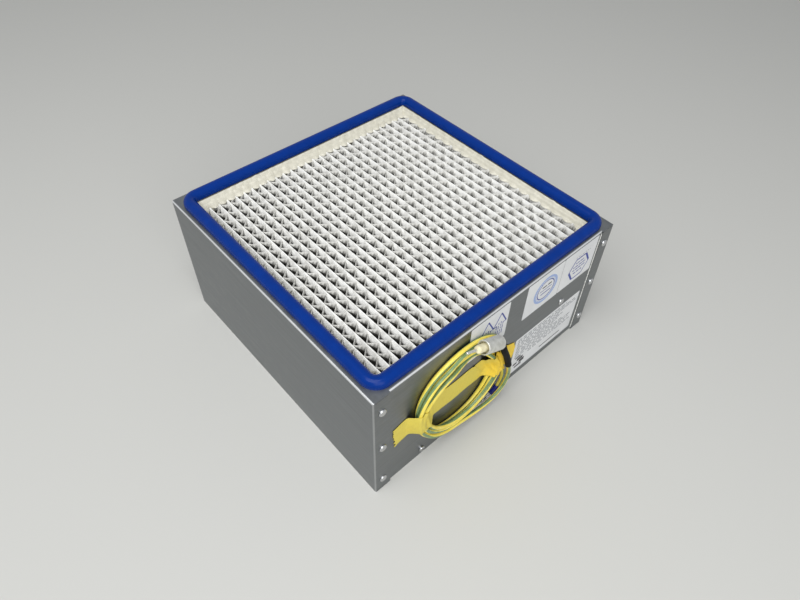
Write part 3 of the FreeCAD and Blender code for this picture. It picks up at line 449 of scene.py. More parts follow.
def crepePaper():
    material, tree, shader = newMaterial("crepe paper tape, yellow", Roughness=0.62)
    place = addNode(tree, "ShaderNodeTexCoord")
    axes = addNode(tree, "ShaderNodeSeparateXYZ", None, {"Vector": place.outputs["Object"]})
    squeeze = addNode(tree, "ShaderNodeMapping", {"Scale": (1.0, 1.0, 0.3)},
                      {"Vector": place.outputs["Object"]})
    crepe = addNode(tree, "ShaderNodeTexNoise", {"Scale": 1 / (tapeLook["crepe"] * mm), "Detail": 3.0},
                    {"Vector": squeeze.outputs["Vector"]})
    patch = addNode(tree, "ShaderNodeTexNoise", {"Scale": 1 / (tapeLook["patch"] * mm), "Detail": 2.0},
                    {"Vector": place.outputs["Object"]})
    start, end = (v * mm for v in tapeLook["doubled"])
    across = addNode(tree, "ShaderNodeMapRange", {"From Min": start, "From Max": end},
                     {"Value": axes.outputs["X"]})
    layers = addNode(tree, "ShaderNodeMath", {"operation": "MULTIPLY_ADD", 1: 0.7},
                     {0: patch.outputs["Fac"], 2: across.outputs["Result"]})
    double = addNode(tree, "ShaderNodeMapRange", {"From Min": 0.45, "From Max": 1.0},
                     {"Value": layers.outputs["Value"]})
    body = addNode(tree, "ShaderNodeMix",
                   {"data_type": "RGBA", 6: toLinear(tapeLook["single"]),
                    7: toLinear(tapeLook["double"])}, {"Factor": double.outputs["Result"]})
    lines = addNode(tree, "ShaderNodeMapRange",
                    {"From Min": 0.45, "From Max": 0.8, "To Max": 0.5},
                    {"Value": crepe.outputs["Fac"]})
    colour = addNode(tree, "ShaderNodeMix", {"data_type": "RGBA", 7: toLinear(tapeLook["crease"])},
                     {"Factor": lines.outputs["Result"], 6: body.outputs[2]})
    bump = addNode(tree, "ShaderNodeBump", {"Strength": 0.4, "Distance": 0.12 * mm},
                   {"Height": crepe.outputs["Fac"]})
    joinShader(tree, shader, Base_Color=colour.outputs[2], Normal=bump.outputs["Normal"])
    return material


crepeTape = crepePaper()

dress(sheetSteel, "side_panel_left", "side_panel_right", "end_panel_front", "end_panel_rear")
dress(zinc, "rivets_front_left", "rivets_front_right", "rivets_rear_left", "rivets_rear_right",
      "panel_rivet", "earth_screw")
dress(gasketBlue, "gasket")
dress(potting, "potting")
dress(mediumPaper, "media_pack")
separators = [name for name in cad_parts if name.startswith("separator_")]
dress(separatorPaper, *separators)
dress(labelFilm, "arrow_sticker", "round_stamp_sticker", "six_sided_stamp_sticker", "data_sticker")
dress(shrunkSleeve, "lead_sleeve")
dress(creasedShell, "plug_shell")
dress(creamAbs, "plug_core")
dress(tinned, "plug_pin", "terminal_tongue")
dress(blueNylon, "terminal_barrel")
print("materials made")


# Earth lead: one wire from the ring terminal, round its coil, in a last wide loop, and
# through the black sleeve into the plug. Places are millimetres across the front panel,
# above the foot, and out from the panel.

webFace = -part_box("arrow_sticker")[1][1] / mm    # the front panel's outside, where stickers lie
lead = {
    "diameter": 4.3,
    # Control points: up from the terminal, round the last wide loop, and through the sleeve
    "start": [(5.9, 18.0, 3.3), (9.6, 22.6, 3.3), (10.9, 33.0, 3.3), (8.6, 45.5, 3.2),
              (3.8, 57.0, 3.0)],
    "loop": [(-91.0, 38.9, 8.2), (-81.0, 29.6, 7.8), (-68.5, 22.8, 7.5), (-54.8, 19.6, 7.4),
             (-43.0, 16.6, 7.6), (-31.0, 15.0, 8.0), (-18.6, 14.4, 8.4), (-7.4, 15.4, 8.6),
             (2.4, 19.6, 8.8), (8.0, 27.8, 9.2), (9.8, 39.5, 9.9), (7.4, 51.5, 11.2),
             (3.8, 61.0, 12.7)],
    "sleeve": [(0.0, 72.0, 13.7), (-5.2, 89.0, 13.7), (-12.5, 106.0, 13.0)],
    "plugPoint": (-63.4, 144.8, 11.6),
    "plugTurn": 28.0,            # degrees, down to the right
    "plugReach": (55.0, 40.0),   # along the plug's axis: past its end, and inside its shell
    "sides": 14,
    "twist": 330.0,              # mm in which the stripes go once round the wire
    "stripes": 2,
    "stripeShare": 0.3,
}
coil = {
    "centre": (-54.0, 81.0),
    "startAngle": -14.4,         # degrees, from the right and up over the top
    "endAngle": 222.0,
    "fullTurns": 4,
    "perTurn": 20,               # points
    "outerRadius": 54.6,
    "spacing": 4.45,             # between two turns side by side
    "layerOut": (2.8, 7.2),      # each layer's middle, out from the panel
    "riseTurns": (2.5, 2.64),    # where the wire climbs to the second layer
    "upperInner": 46.2,          # and the radius that it starts on there
    # Each turn's shift in radius under the plug, and where it hangs at the foot
    "fanned": (-0.1, -4.4, -4.4, -12.9, -4.05),
    "hung": (7.6, 7.6, 4.6, 4.3, 0.0),
    "counter": 0.0236,           # mm a degree, to lie beside turns that wind the other way
    "leftOpen": 2.8,
    "rightOpen": 2.6,
    "drawnIn": 0.6,              # share of the fourth turn's shift that it keeps on the left
    # Degrees where each shift starts, is full, begins to ease and ends
    "fanSpan": (-25, 34, 98, 140),
    "flatSpan": (18, 42, 86, 108),
    "leftSpan": (104, 134, 150, 180),
    "drawnSpan": (104, 134, 138, 178),
    "rightSpan": (-80, -50, -25, 5),
    "hangStart": ((195, 235), (222, 262)),       # of the first two turns, and of the rest
    "hangEnd": (-70, -25),
    "counterFrom": 64,
}


def coilPoint(turns):
    angle = coil["startAngle"] + 360 * turns
    way = (angle + 90) % 360 - 90
    turn = min(int(turns), coil["fullTurns"])
    riseStart, riseEnd = coil["riseTurns"]
    lower = coil["outerRadius"] - coil["spacing"] * turns
    upper = coil["upperInner"] + coil["spacing"] * (turns - riseEnd)
    lift = rise(turns, riseStart, riseEnd)
    radius = lower + (upper - lower) * lift
    lowOut, highOut = coil["layerOut"]
    out = lowOut + (highOut - lowOut) * lift
    # Where nothing ties them the turns fan out, at the foot they hang, and under the plug they
    # lie flat
    fan = hump(way, *coil["fanSpan"])
    hang = rise(way, *coil["hangStart"][turn > 1]) + (1 - rise(way, *coil["hangEnd"])) * (way < 0)
    radius += coil["fanned"][turn] * fan + coil["hung"][turn] * min(hang, 1)
    if turn == 0:
        radius += coil["leftOpen"] * hump(way, *coil["leftSpan"])
    if turn == 3:
        radius += coil["fanned"][turn] * coil["drawnIn"] * hump(way, *coil["drawnSpan"])
        radius += coil["rightOpen"] * hump(way, *coil["rightSpan"])
    if turn > 2:
        out -= (highOut - lowOut) * hump(way, *coil["flatSpan"])
        radius -= coil["counter"] * (way - coil["counterFrom"]) * fan
    across = coil["centre"][0] + radius * math.cos(math.radians(angle))
    height = coil["centre"][1] + radius * math.sin(math.radians(angle))
    return (across, height, out)


def coilRoute():
    sweep = coil["endAngle"] - coil["startAngle"] + 360 * coil["fullTurns"]
    count = round(sweep / 360 * coil["perTurn"])
    return [coilPoint(sweep / 360 * step / count) for step in range(count + 1)]


def plugAxis(distance):
    turn = math.radians(lead["plugTurn"])
    across, height, out = lead["plugPoint"]
    return (across + distance * math.cos(turn), height - distance * math.sin(turn), out)


def fromPanel(route):
    return [Vector((x, -webFace - out, z)) * mm for x, z, out in route]


def smoothLine(name, points):
    curve = bpy.data.curves.new(name, "CURVE")
    curve.dimensions = "3D"
    curve.resolution_u = 6
    spline = curve.splines.new("NURBS")
    spline.points.add(len(points) - 1)
    for target, point in zip(spline.points, points):
        target.co = (*point, 1.0)
    spline.order_u = 3
    spline.use_endpoint_u = True
    holder = bpy.data.objects.new(name, curve)
    bpy.context.collection.objects.link(holder)
    mesh = bpy.data.meshes.new_from_object(holder)
    line = [v.co.copy() for v in mesh.vertices]
    bpy.data.objects.remove(holder)
    return line


def stripedTube(name, line, radius):
    sides = lead["sides"]
    verts, faces, slots = [], [], []
    side = None
    travelled = 0.0
    for i, point in enumerate(line):
        ahead = line[min(i + 1, len(line) - 1)] - line[max(i - 1, 0)]
        ahead.normalize()
        if side is None:
            side = ahead.orthogonal().normalized()
        side = (side - ahead * side.dot(ahead)).normalized()
        other = ahead.cross(side)
        if i:
            travelled += (point - line[i - 1]).length
        turn = travelled / (lead["twist"] * mm) * 2 * math.pi
        for k in range(sides):
            angle = turn + 2 * math.pi * k / sides
            verts.append(point + (side * math.cos(angle) + other * math.sin(angle)) * radius)
    for i in range(len(line) - 1):
        for k in range(sides):
            after = (k + 1) % sides
            faces.append((i * sides + k, i * sides + after, (i + 1) * sides + after,
                          (i + 1) * sides + k))
            share = (k * lead["stripes"] / sides) % 1.0
            slots.append(1 if share < lead["stripeShare"] else 0)
    faces.append(tuple(reversed(range(sides))))
    faces.append(tuple(range((len(line) - 1) * sides, len(line) * sides)))
    slots += [0, 0]
    return newPiece(name, verts, faces, [yellowPvc, greenPvc], slots)


def earthLead():
    route = lead["start"] + coilRoute() + lead["loop"] + lead["sleeve"]
    route += [plugAxis(distance) for distance in lead["plugReach"]]
    points = fromPanel(route)
    line = smoothLine("leadLine", points)
    wire = stripedTube("earthLeadWire", line, lead["diameter"] / 2 * mm)
    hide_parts("earth_lead_coil", "earth_lead_tail", "earth_lead_start")
    return line


leadLine = earthLead()


# Hold-down tape: crepe tape over both sides of the coil, pressed down between them

tape = {
    "width": 29.0,
    "middle": [(-130.5, 70.5), (-118.0, 74.5), (-104.0, 78.5), (-90.0, 74.5), (-76.0, 73.0),
               (-52.0, 73.0), (-30.0, 73.5), (-16.0, 76.0), (-4.0, 72.0), (10.0, 64.0),
               (27.0, 57.0)],
    "spread": 5.0,               # wider where it bridges the loose turns
    "spreadSpan": (0.62, 0.74, 0.82, 0.95),      # and where that is, as shares of its length
    "rows": 28,
    "columns": 150,
    "lift": 0.4,                 # off what lies under it
    "slope": 1.15,               # mm down for each mm that it leans off a wire
    "slack": 6,                  # rounds of easing, in which the tape draws itself taut
    "thick": 0.16,
    "under": 10.2,               # wires further out than this pass over the tape
    "near": 16,                  # and wires further off than this don't hold it up
    "ragged": 2.6,               # depth of the torn left end's teeth
    "slant": 0.1,                # of the tear, to its width
    "tornShare": 0.05,           # share of the length that the tear takes
    "roundFrom": 0.9,            # share of the length where the right end's curve begins
    "roundWidth": 7.5,           # off the middle line at which the curve is 1 mm deep
    "frayed": 1.5,               # depth of the right end's teeth
    "wander": 1.2,               # of its edges, up and down
    "creased": (0.15, 0.9),      # height of the small creases, and what they gain where loose
    # Creases: where each starts and ends, its height and its width
    "folds": [((-38, 92), (-20, 66), 1.1, 1.6), ((-27, 97), (-9, 62), 1.6, 1.8),
              ((-14, 92), (-2, 58), 1.2, 1.4), ((-88, 92), (-85, 58), 0.8, 1.8),
              ((-110, 94), (-101, 62), 0.5, 1.6), ((-48, 88), (-30, 80), 0.6, 1.5),
              ((12, 84), (16, 52), 0.9, 2.0)],
}


def besideSegment(x, z, a, b):
    ax, az, bx, bz = a[0], a[1], b[0], b[1]
    long = (bx - ax) ** 2 + (bz - az) ** 2
    share = min(max(((x - ax) * (bx - ax) + (z - az) * (bz - az)) / long, 0), 1) if long else 0
    return math.hypot(x - ax - (bx - ax) * share, z - az - (bz - az) * share), share


def tapeHeights(grid):
    # The wires' tops under each point, and a taut sheet that leans off them
    radius = lead["diameter"] / 2
    wires = [(p.x / mm, p.z / mm, -p.y / mm - webFace) for p in leadLine]
    band = 4.0                   # mm of height that are searched together
    bands = {}
    for a, b in zip(wires, wires[1:]):
        if a[2] < tape["under"] and b[2] < tape["under"]:
            for key in {math.floor(a[1] / band), math.floor(b[1] / band)}:
                bands.setdefault(key, []).append((a, b))

    def height(x, z):
        high = 0.0
        row = math.floor(z / band)
        for key in (row - 1, row, row + 1):
            for a, b in bands.get(key, ()):
                if abs(a[0] - x) < tape["near"]:
                    off, share = besideSegment(x, z, a, b)
                    out = a[2] + (b[2] - a[2]) * share
                    over = math.sqrt(radius ** 2 - off ** 2) if off < radius else \
                        -(off - radius) * tape["slope"]
                    high = max(high, out + over)
        return high

    return [[height(x, z) for x, z in row] for row in grid]


def alongMiddle(share):
    points = tape["middle"]
    place = share * (len(points) - 1)
    i = min(int(place), len(points) - 2)
    t = place - i
    before, a, b, after = (points[min(max(k, 0), len(points) - 1)] for k in (i - 1, i, i + 1, i + 2))
    return tuple(0.5 * (2 * a[k] + (b[k] - before[k]) * t
                        + (2 * before[k] - 5 * a[k] + 4 * b[k] - after[k]) * t * t
                        + (3 * a[k] - before[k] - 3 * b[k] + after[k]) * t * t * t)
                 for k in (0, 1))


def foldHeight(x, z):
    high = 0.0
    for start, end, tall, wide in tape["folds"]:
        off, share = besideSegment(x, z, start, end)
        ends = hump(share, 0, 0.25, 0.8, 1)
        high += tall * ends * max(1 - off / wide, 0)
    return high


def tapeGrid():
    # The strip's outline on the panel: torn off on the left, rounded and frayed on the right
    columns, rows = tape["columns"], tape["rows"]
    grid = []
    for c in range(columns + 1):
        share = c / columns
        x, z = alongMiddle(share)
        width = tape["width"] + tape["spread"] * hump(share, *tape["spreadSpan"])
        row = []
        for r in range(rows + 1):
            across = (r / rows - 0.5) * width
            torn = noise.noise(Vector((across * 0.35, 3.1, 0))) * tape["ragged"]
            torn -= across * tape["slant"]
            rounded = noise.noise(Vector((across * 0.5, 8.7, 0))) * tape["frayed"]
            rounded -= (across / tape["roundWidth"]) ** 2
            shift = torn * (1 - rise(share, 0, tape["tornShare"]))
            shift += rounded * rise(share, tape["roundFrom"], 1)
            wave = noise.noise(Vector((x * 0.06, across * 0.01, 5.0))) * tape["wander"]
            row.append((x + shift, z + across + wave))
        grid.append(row)
    return grid


def drawTaut(tops):
    columns, rows = tape["columns"], tape["rows"]
    heights = tops
    for _ in range(tape["slack"]):
        heights = [[(heights[max(c - 1, 0)][r] + 2 * heights[c][r]
                     + heights[min(c + 1, columns)][r]
                     + heights[c][max(r - 1, 0)] + heights[c][min(r + 1, rows)]) / 6
                    for r in range(rows + 1)] for c in range(columns + 1)]
        heights = [[max(a, b) for a, b in zip(taut, under)] for taut, under in zip(heights, tops)]
    return heights


def layTape():
    grid = tapeGrid()
    heights = drawTaut(tapeHeights(grid))
    pressed, gain = tape["creased"]
    verts = []
    for row, tautRow in zip(grid, heights):
        for (x, z), high in zip(row, tautRow):
            loose = rise(high, 0.5, 4.0)
            crease = abs(noise.noise(Vector((x * 0.2, z * 0.13, 1.7)))) * (pressed + gain * loose)
            high += crease + foldHeight(x, z) + tape["lift"]
            verts.append(Vector((x, -webFace - high, z)) * mm)
    faces = gridFaces(tape["columns"], tape["rows"])
    piece = newPiece("holdDownTape", verts, faces, [crepeTape])
    solid = piece.modifiers.new("thickness", "SOLIDIFY")
    solid.thickness = tape["thick"] * mm
    solid.offset = 0
    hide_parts("hold_down_tape")
    print("tape laid")


layTape()


# Prints on the stickers: plain arrows, rings and ruled lines, a thin layer of ink

inkLift = 0.03                   # mm off the sticker
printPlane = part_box("arrow_sticker")[0][1] / mm - inkLift


def aroundPoint(centre, radius, degrees):
    angle = math.radians(degrees)
    return (centre[0] + radius * math.cos(angle), centre[1] + radius * math.sin(angle))


class Print:
    def __init__(self):
        self.verts = []
        self.faces = []

    def patch(self, outline):
        first = len(self.verts)
        self.verts += [Vector((x, printPlane, z)) * mm for x, z in outline]
        self.faces.append(tuple(range(first, first + len(outline))))

    def bar(self, a, b, wide):
        ax, az = a
        bx, bz = b
        long = math.hypot(bx - ax, bz - az)
        nx, nz = (az - bz) / long * wide / 2, (bx - ax) / long * wide / 2
        self.patch([(ax - nx, az - nz), (bx - nx, bz - nz), (bx + nx, bz + nz), (ax + nx, az + nz)])

    def ring(self, centre, radius, wide, sides=64):
        for k in range(sides):
            inner = [aroundPoint(centre, radius - wide / 2, 360 * d / sides) for d in (k, k + 1)]
            outer = [aroundPoint(centre, radius + wide / 2, 360 * d / sides) for d in (k, k + 1)]
            self.patch([inner[0], outer[0], outer[1], inner[1]])

    def dashes(self, start, end, height, high, draws, wide, gap, cut=True):
        # A row of dashes of drawn widths and gaps, the last one cut off at the end
        x = start
        while x < end:
            long = draws.uniform(*wide)
            if cut:
                long = min(long, end - x)
            self.bar((x, height), (x + long, height), high)
            x += long + draws.uniform(*gap)

    def place(self, name, material):
        piece = newPiece(name, self.verts, self.faces, [material], smooth=False)


def stickerBox(node):
    low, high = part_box(node)
    return low[0] / mm, high[0] / mm, low[2] / mm, high[2] / mm


arrowArt = {
    "shares": (0.445, 0.785),    # of the sticker's width, where the arrows' tips are
    "drop": 7.0,                 # from the sticker's top to the tips
    "half": 8.2,                 # half a head's width, and its height
    "head": 15.5,
    "line": 1.0,
    "slopes": (1.3, 1.4),        # the two sides' lines, in lines
    "neck": 4.0,                 # half the gap at the foot of a head
    "stem": (-4.2, -1.5, 1.5, 4.2),
    "stemTop": 11.0,
    "stemFoot": 31.0,
    "stroke": (2.0, 6.0),
    "gap": (0.6, 1.6),
    "seed": 5,
}


def arrowPrint():
    left, right, _, top = stickerBox("arrow_sticker")
    art, draws = Print(), random.Random(arrowArt["seed"])
    half, neck, line = arrowArt["half"], arrowArt["neck"], arrowArt["line"]
    first, second = arrowArt["slopes"]
    tip = top - arrowArt["drop"]
    base = tip - arrowArt["head"]
    for share in arrowArt["shares"]:
        middle = left + (right - left) * share
        art.bar((middle - half, base), (middle, tip), line * first)
        art.bar((middle, tip), (middle + half, base), line * second)
        art.bar((middle - half, base), (middle - neck, base), line)
        art.bar((middle + neck, base), (middle + half, base), line)
        for across in arrowArt["stem"]:
            z = tip - arrowArt["stemTop"] - abs(across) * 0.9
            while z > tip - arrowArt["stemFoot"]:
                long = draws.uniform(*arrowArt["stroke"])
                art.bar((middle + across, z), (middle + across, z - long), line)
                z -= long + draws.uniform(*arrowArt["gap"])
    art.place("arrowPrint", printBlue)


roundArt = {
    "shift": (3.0, 0.4),         # of its middle, from the sticker's
    "rings": ((15.6, 2.6, "pale"), (11.9, 1.1, "blue")),          # radius, width, ink
    "rays": 40,
    "ray": (12.8, 14.2, 0.9),    # from and to a radius, and width
    # Bars: height from the middle, start, end, width
    "bars": ((0.6, -8.8, 8.8, 0.9), (-4.0, -6.6, 7.6, 1.3)),
    "bold": ((5.0, -6.0, 0.6, 1.7), (5.0, 2.2, 7.4, 1.9)),
}


def roundStampPrint():
    left, right, foot, top = stickerBox("round_stamp_sticker")
    centre = ((left + right) / 2 + roundArt["shift"][0], (foot + top) / 2 + roundArt["shift"][1])
    arts = {"pale": Print(), "blue": Print(), "black": Print()}
    for radius, wide, tone in roundArt["rings"]:
        arts[tone].ring(centre, radius, wide)
    near, far, thin = roundArt["ray"]
    for k in range(roundArt["rays"]):
        way = 360 * k / roundArt["rays"]
        arts["pale"].bar(aroundPoint(centre, near, way), aroundPoint(centre, far, way), thin)
    for tone, key in (("blue", "bars"), ("black", "bold")):
        for height, start, end, wide in roundArt[key]:
            arts[tone].bar((centre[0] + start, centre[1] + height),
                           (centre[0] + end, centre[1] + height), wide)
    arts["black"].place("roundStampBlack", printBlack)
    arts["pale"].place("roundStampPale", printPaleBlue)
    arts["blue"].place("roundStampBlue", printBlue)


sixArt = {
    "shift": (2.2, -4.2),
    "radius": 15.4,
    "sides": (1.7, 2.4, 1.2, 1.3, 2.4, 1.5),     # width of each side's line
    # Rows of dashes: height from the middle, and half the row's length
    "rows": ((7.6, 6.5), (3.0, 9.5), (-1.2, 9.5), (-6.0, 7.0)),
    "row": 1.5,
    "dash": (1.2, 5.0),
    "gap": (0.6, 1.4),
    # A faint row above: height, start and end
    "note": (16.5, -9.0, 12.0),
    "noteRow": 0.7,
    "noteDash": (1.0, 3.0),
    "noteGap": (0.8, 2.0),
    "seed": 3,
}


def sixSidedStampPrint():
    left, right, foot, top = stickerBox("six_sided_stamp_sticker")
    x, z = (left + right) / 2 + sixArt["shift"][0], (foot + top) / 2 + sixArt["shift"][1]
    art, faint, draws = Print(), Print(), random.Random(sixArt["seed"])
    corners = [aroundPoint((x, z), sixArt["radius"], 120 - 60 * k) for k in range(6)]
    for k, wide in enumerate(sixArt["sides"]):
        art.bar(corners[k], corners[(k + 1) % 6], wide)
    for height, half in sixArt["rows"]:
        art.dashes(x - half, x + half, z + height, sixArt["row"], draws, sixArt["dash"],
                   sixArt["gap"])
    height, start, end = sixArt["note"]
    faint.dashes(x + start, x + end, z + height, sixArt["noteRow"], draws, sixArt["noteDash"],
                 sixArt["noteGap"], cut=False)
    art.place("sixSidedStampPrint", printBlue)
    faint.place("sixSidedStampNote", printGrey)


dataArt = {
    "lines": 12,
    "lineStep": 3.2,
    "row": 1.3,
    "dash": (2.0, 8.5),
    "gap": (1.0, 2.6),
    "margin": 4.0,
    "uneven": 34,                # most that a row ends short of the margin
    # A bold made-up mark and an underline: across, up, width and height of each block
    "blocks": ((2.5, 20.5, 8.5, 2.4), (6.0, 15.8, 9.0, 4.4), (0.5, 11.0, 6.0, 3.2),
               (10.0, 10.2, 8.0, 5.4), (3.5, 5.0, 11.0, 2.8), (44.0, 5.0, 34.0, 1.6)),
    "blocksUp": 2.5,
    "markBox": (22, 26),         # the mark's width and height, which the rows keep clear of
    "seed": 11,
}


def dataStickerPrint():
    left, right, foot, top = stickerBox("data_sticker")
    draws = random.Random(dataArt["seed"])
    grey, black = Print(), Print()
    margin = dataArt["margin"]
    markWide, markHigh = dataArt["markBox"]
    for line in range(dataArt["lines"]):
        height = top - margin - line * dataArt["lineStep"]
        start = left + margin + (markWide if height < foot + markHigh else 0)
        end = right - margin - draws.uniform(0, dataArt["uneven"])
        grey.dashes(start, end, height, dataArt["row"], draws, dataArt["dash"], dataArt["gap"])
    for across, up, wide, high in dataArt["blocks"]:
        x, z = left + margin + across, foot + dataArt["blocksUp"] + up
        black.bar((x, z), (x + wide, z), high)
    grey.place("dataPrintGrey", printGrey)
    black.place("dataPrintBlack", printBlack)


arrowPrint()
roundStampPrint()
sixSidedStampPrint()
dataStickerPrint()
print("stickers printed")


# Separators of the channels that open at the foot: zigzag strips like those on top, that
# spread with the channel towards its mouth

footStrips = {
    "crests": 28,
    "crestHalf": 0.5,            # half the thickness of a fold's crest
    "wave": 14.15,
    "thick": 0.2,
    "levels": ((8.3, 4.1), (13.5, 2.05), (134.0, 2.05)),   # height, and half the strip's width
    "phase": 9.3,                # from the rear to the first strip's first fold
    "phaseStep": 2.35,           # and what each strip adds to it
    "clear": 0.3,                # of the potting at both ends
}


def packSides():
    (left, front, _), (right, rear, _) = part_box("media_pack")
    return [v / mm for v in (left, right, front, rear)]


def footSeparators():
    left, right, front, rear = packSides()
    wave, thick = footStrips["wave"], footStrips["thick"]
    crestHalf, clear = footStrips["crestHalf"], footStrips["clear"]
    ring = len(footStrips["levels"]) * 2
    pitch = (right - left - crestHalf * 2) / footStrips["crests"]
    verts, faces = [], []
    for index in range(1, footStrips["crests"]):
        middle = left + crestHalf + pitch * index
        start = rear - footStrips["phase"] - footStrips["phaseStep"] * index
        folds = range(math.floor((front - start) / wave * 2), math.ceil((rear - start) / wave * 2) + 1)
        line = [(start + k * wave / 2, -1 if k % 2 == 0 else 1) for k in folds]
        line = [p for p in line if front + clear < p[0] < rear - clear]
        first = len(verts)
        for y, side in line:
            near = [Vector((middle + side * (half - thick / 2) - thick / 2, y, z)) * mm
                    for z, half in footStrips["levels"]]
            verts += near + [v + Vector((thick, 0, 0)) * mm for v in reversed(near)]
        for k in range(len(line) - 1):
            for s in range(ring):
                a, b = first + k * ring + s, first + k * ring + (s + 1) % ring
                faces.append((a, b, b + ring, a + ring))
        last = first + (len(line) - 1) * ring
        faces.append(tuple(range(first + ring - 1, first - 1, -1)))
        faces.append(tuple(range(last, last + ring)))
    piece = newPiece("footSeparators", verts, faces, [separatorPaper], smooth=False)
    print("foot separators folded")


footSeparators()


# Potting's edge: poured in strokes, it stands in lumps on its slope up to the flange, and
# wets the ends of the pleats

lumps = {
    "level": 142.0,              # mm, the crests
    "climb": 7.0,                # up to the flange's lip
    "lip": 135.0,                # the lip, from the middle
    "proud": 0.35,               # of the solid's slope
    "rows": 2,
    "tall": 1.9,
    "reach": (1.0, 3.6),         # in over the pleats, at a crest and between two
    "uneven": 1.4,               # and how much that wanders
    "wet": 0.5,                  # how much higher it stands between two crests
    "sink": 1.6,                 # how far it runs down at its very edge
    "step": 0.6,
    "across": 12,
}


def lumpyEdge(name, place, length, pitch, span):
    # One stretch of edge; place turns how far along it and off the pleats into a place
    steps = int(length / lumps["step"])
    count = lumps["across"]
    rowWide = span / lumps["rows"]
    least, most = lumps["reach"]
    proud, wet = lumps["proud"], lumps["wet"]
    verts = []
    for i in range(steps + 1):
        along = length * i / steps
        between = 0.5 - 0.5 * math.cos(2 * math.pi * along / pitch)
        rough = noise.noise(Vector((along * 0.13, span, 0)))
        reach = least + (most - least) * between + rough * lumps["uneven"]
        for j in range(count + 1):
            off = -reach + (span + reach) * j / count
            if off < 0:
                height = proud + wet * between - lumps["sink"] * (off / reach) ** 2
            else:
                row = min(int(off / rowWide), lumps["rows"] - 1)
                beat = abs(math.sin(math.pi * (along / pitch + row * 0.5)))
                bulge = abs(math.sin(math.pi * off / rowWide)) ** 0.6 * (0.35 + 0.65 * beat ** 0.7)
                height = proud * (1 - rise(off, span - 1, span)) + lumps["climb"] * off / span
                height += lumps["tall"] * bulge * (0.8 + 0.8 * rough)
                height += wet * between * (1 - rise(off, 0, 1.5))
            verts.append(Vector((*place(along, off), lumps["level"] + height)) * mm)
    piece = newPiece(name, verts, gridFaces(steps, count), [potting])


def pottingEdges():
    left, right, front, rear = packSides()
    lip = lumps["lip"]
    pitch = (right - left) / footStrips["crests"]
    lumpyEdge("pottingEdgeRear", lambda a, o: (-lip + a, rear + o), lip * 2, pitch, lip - rear)
    lumpyEdge("pottingEdgeFront", lambda a, o: (-lip + a, front - o), lip * 2, pitch, lip + front)
    lumpyEdge("pottingEdgeRight", lambda a, o: (right + o, -lip + a), lip * 2, footStrips["wave"],
              lip - right)
    print("potting edges poured")


pottingEdges()


# Joint sealer: a thin bead wiped along the right corner tab, dried white and ragged

sealer = {
    "tabEdge": 17.5,             # mm from the side face
    "clear": 0.02,               # off the tab's edge
    "wide": (0.5, 1.5),
    "high": 0.7,
    "thin": 0.55,                # share of its height where it is thinnest
    "ends": (2.5, 147.5),        # above the foot
    "step": 0.5,
    "around": 6,
}


def sealerBead():
    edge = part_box("side_panel_right")[1][0] / mm - sealer["tabEdge"] - sealer["clear"]
    low, high = sealer["ends"]
    narrow, broad = sealer["wide"]
    around, thin = sealer["around"], sealer["thin"]
    steps = int((high - low) / sealer["step"])
    verts = []
    for i in range(steps + 1):
        z = low + (high - low) * i / steps
        rough = noise.noise(Vector((z * 0.55, 2.0, 0))) + 0.5 * noise.noise(Vector((z * 1.7, 7.0, 0)))
        share = min(max(0.5 + rough, 0), 1)
        wide = narrow + (broad - narrow) * share
        tall = sealer["high"] * (thin + (1 - thin) * share) * rise(min(z - low, high - z), 0, 1.5)
        for k in range(around + 1):
            angle = math.pi * k / around
            x = edge - wide / 2 * (1 + math.cos(angle))
            verts.append(Vector((x, -webFace - math.sin(angle) * tall, z)) * mm)
    piece = newPiece("jointSealer", verts, gridFaces(steps, around), [driedSealer])
    print("joint sealed")


sealerBead()


# Studio: a plain pale floor, a soft sky and two broad lamps

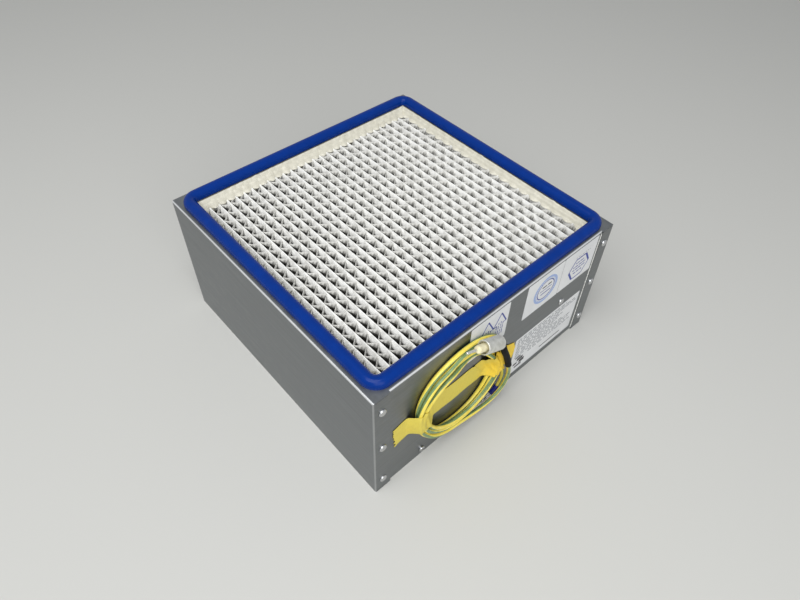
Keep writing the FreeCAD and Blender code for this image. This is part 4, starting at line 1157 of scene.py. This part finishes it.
studio = {
    "floor": "#C9C9C5",
    "floorHalf": 6.0,
    "sky": "#DCDEE0",
    "skyStrength": 0.5,
    "seenStrength": 0.85,        # of the sky as the camera, metal and clear things see it
    # Each lamp's name, place, side and watts
    "lamps": [
        ("keyLamp", (-0.7, -0.3, 1.55), 1.2, 20.0),
        ("fillLamp", (-0.7, -1.4, 0.9), 1.2, 10.5),
    ],
    "target": (0.0, 0.0, 0.08),
}


def setSky():
    world = bpy.data.worlds.new("studioSky")
    bpy.context.scene.world = world
    world.use_nodes = True
    tree = world.node_tree
    back = tree.nodes["Background"]
    back.inputs["Color"].default_value = toLinear(studio["sky"])
    rays = addNode(tree, "ShaderNodeLightPath")
    mirrored = addNode(tree, "ShaderNodeMath", {"operation": "ADD"},
                       {0: rays.outputs["Is Camera Ray"], 1: rays.outputs["Is Glossy Ray"]})
    through = addNode(tree, "ShaderNodeMath", {"operation": "ADD", "use_clamp": True},
                      {0: mirrored.outputs["Value"], 1: rays.outputs["Is Transmission Ray"]})
    seen = addNode(tree, "ShaderNodeMapRange",
                   {"To Min": studio["skyStrength"], "To Max": studio["seenStrength"]},
                   {"Value": through.outputs["Value"]})
    tree.links.new(seen.outputs["Result"], back.inputs["Strength"])


def layFloor():
    half = studio["floorHalf"]
    mesh = bpy.data.meshes.new("floor")
    mesh.from_pydata([(-half, -half, 0), (half, -half, 0), (half, half, 0), (-half, half, 0)], [],
                     [(0, 1, 2, 3)])
    material, _, _ = newMaterial("painted floor, matt", Roughness=0.9,
                                 Base_Color=toLinear(studio["floor"]))
    mesh.materials.append(material)
    floor = bpy.data.objects.new("floor", mesh)
    bpy.context.collection.objects.link(floor)


def hangLamps():
    for name, place, size, power in studio["lamps"]:
        data = bpy.data.lights.new(name, "AREA")
        data.size = size
        data.energy = power
        lamp = bpy.data.objects.new(name, data)
        lamp.location = place
        way = Vector(place) - Vector(studio["target"])
        lamp.rotation_euler = way.to_track_quat("Z", "Y").to_euler()
        bpy.context.collection.objects.link(lamp)


setSky()
layFloor()
hangLamps()
bpy.context.scene.view_settings.view_transform = "Standard"
print("studio set")
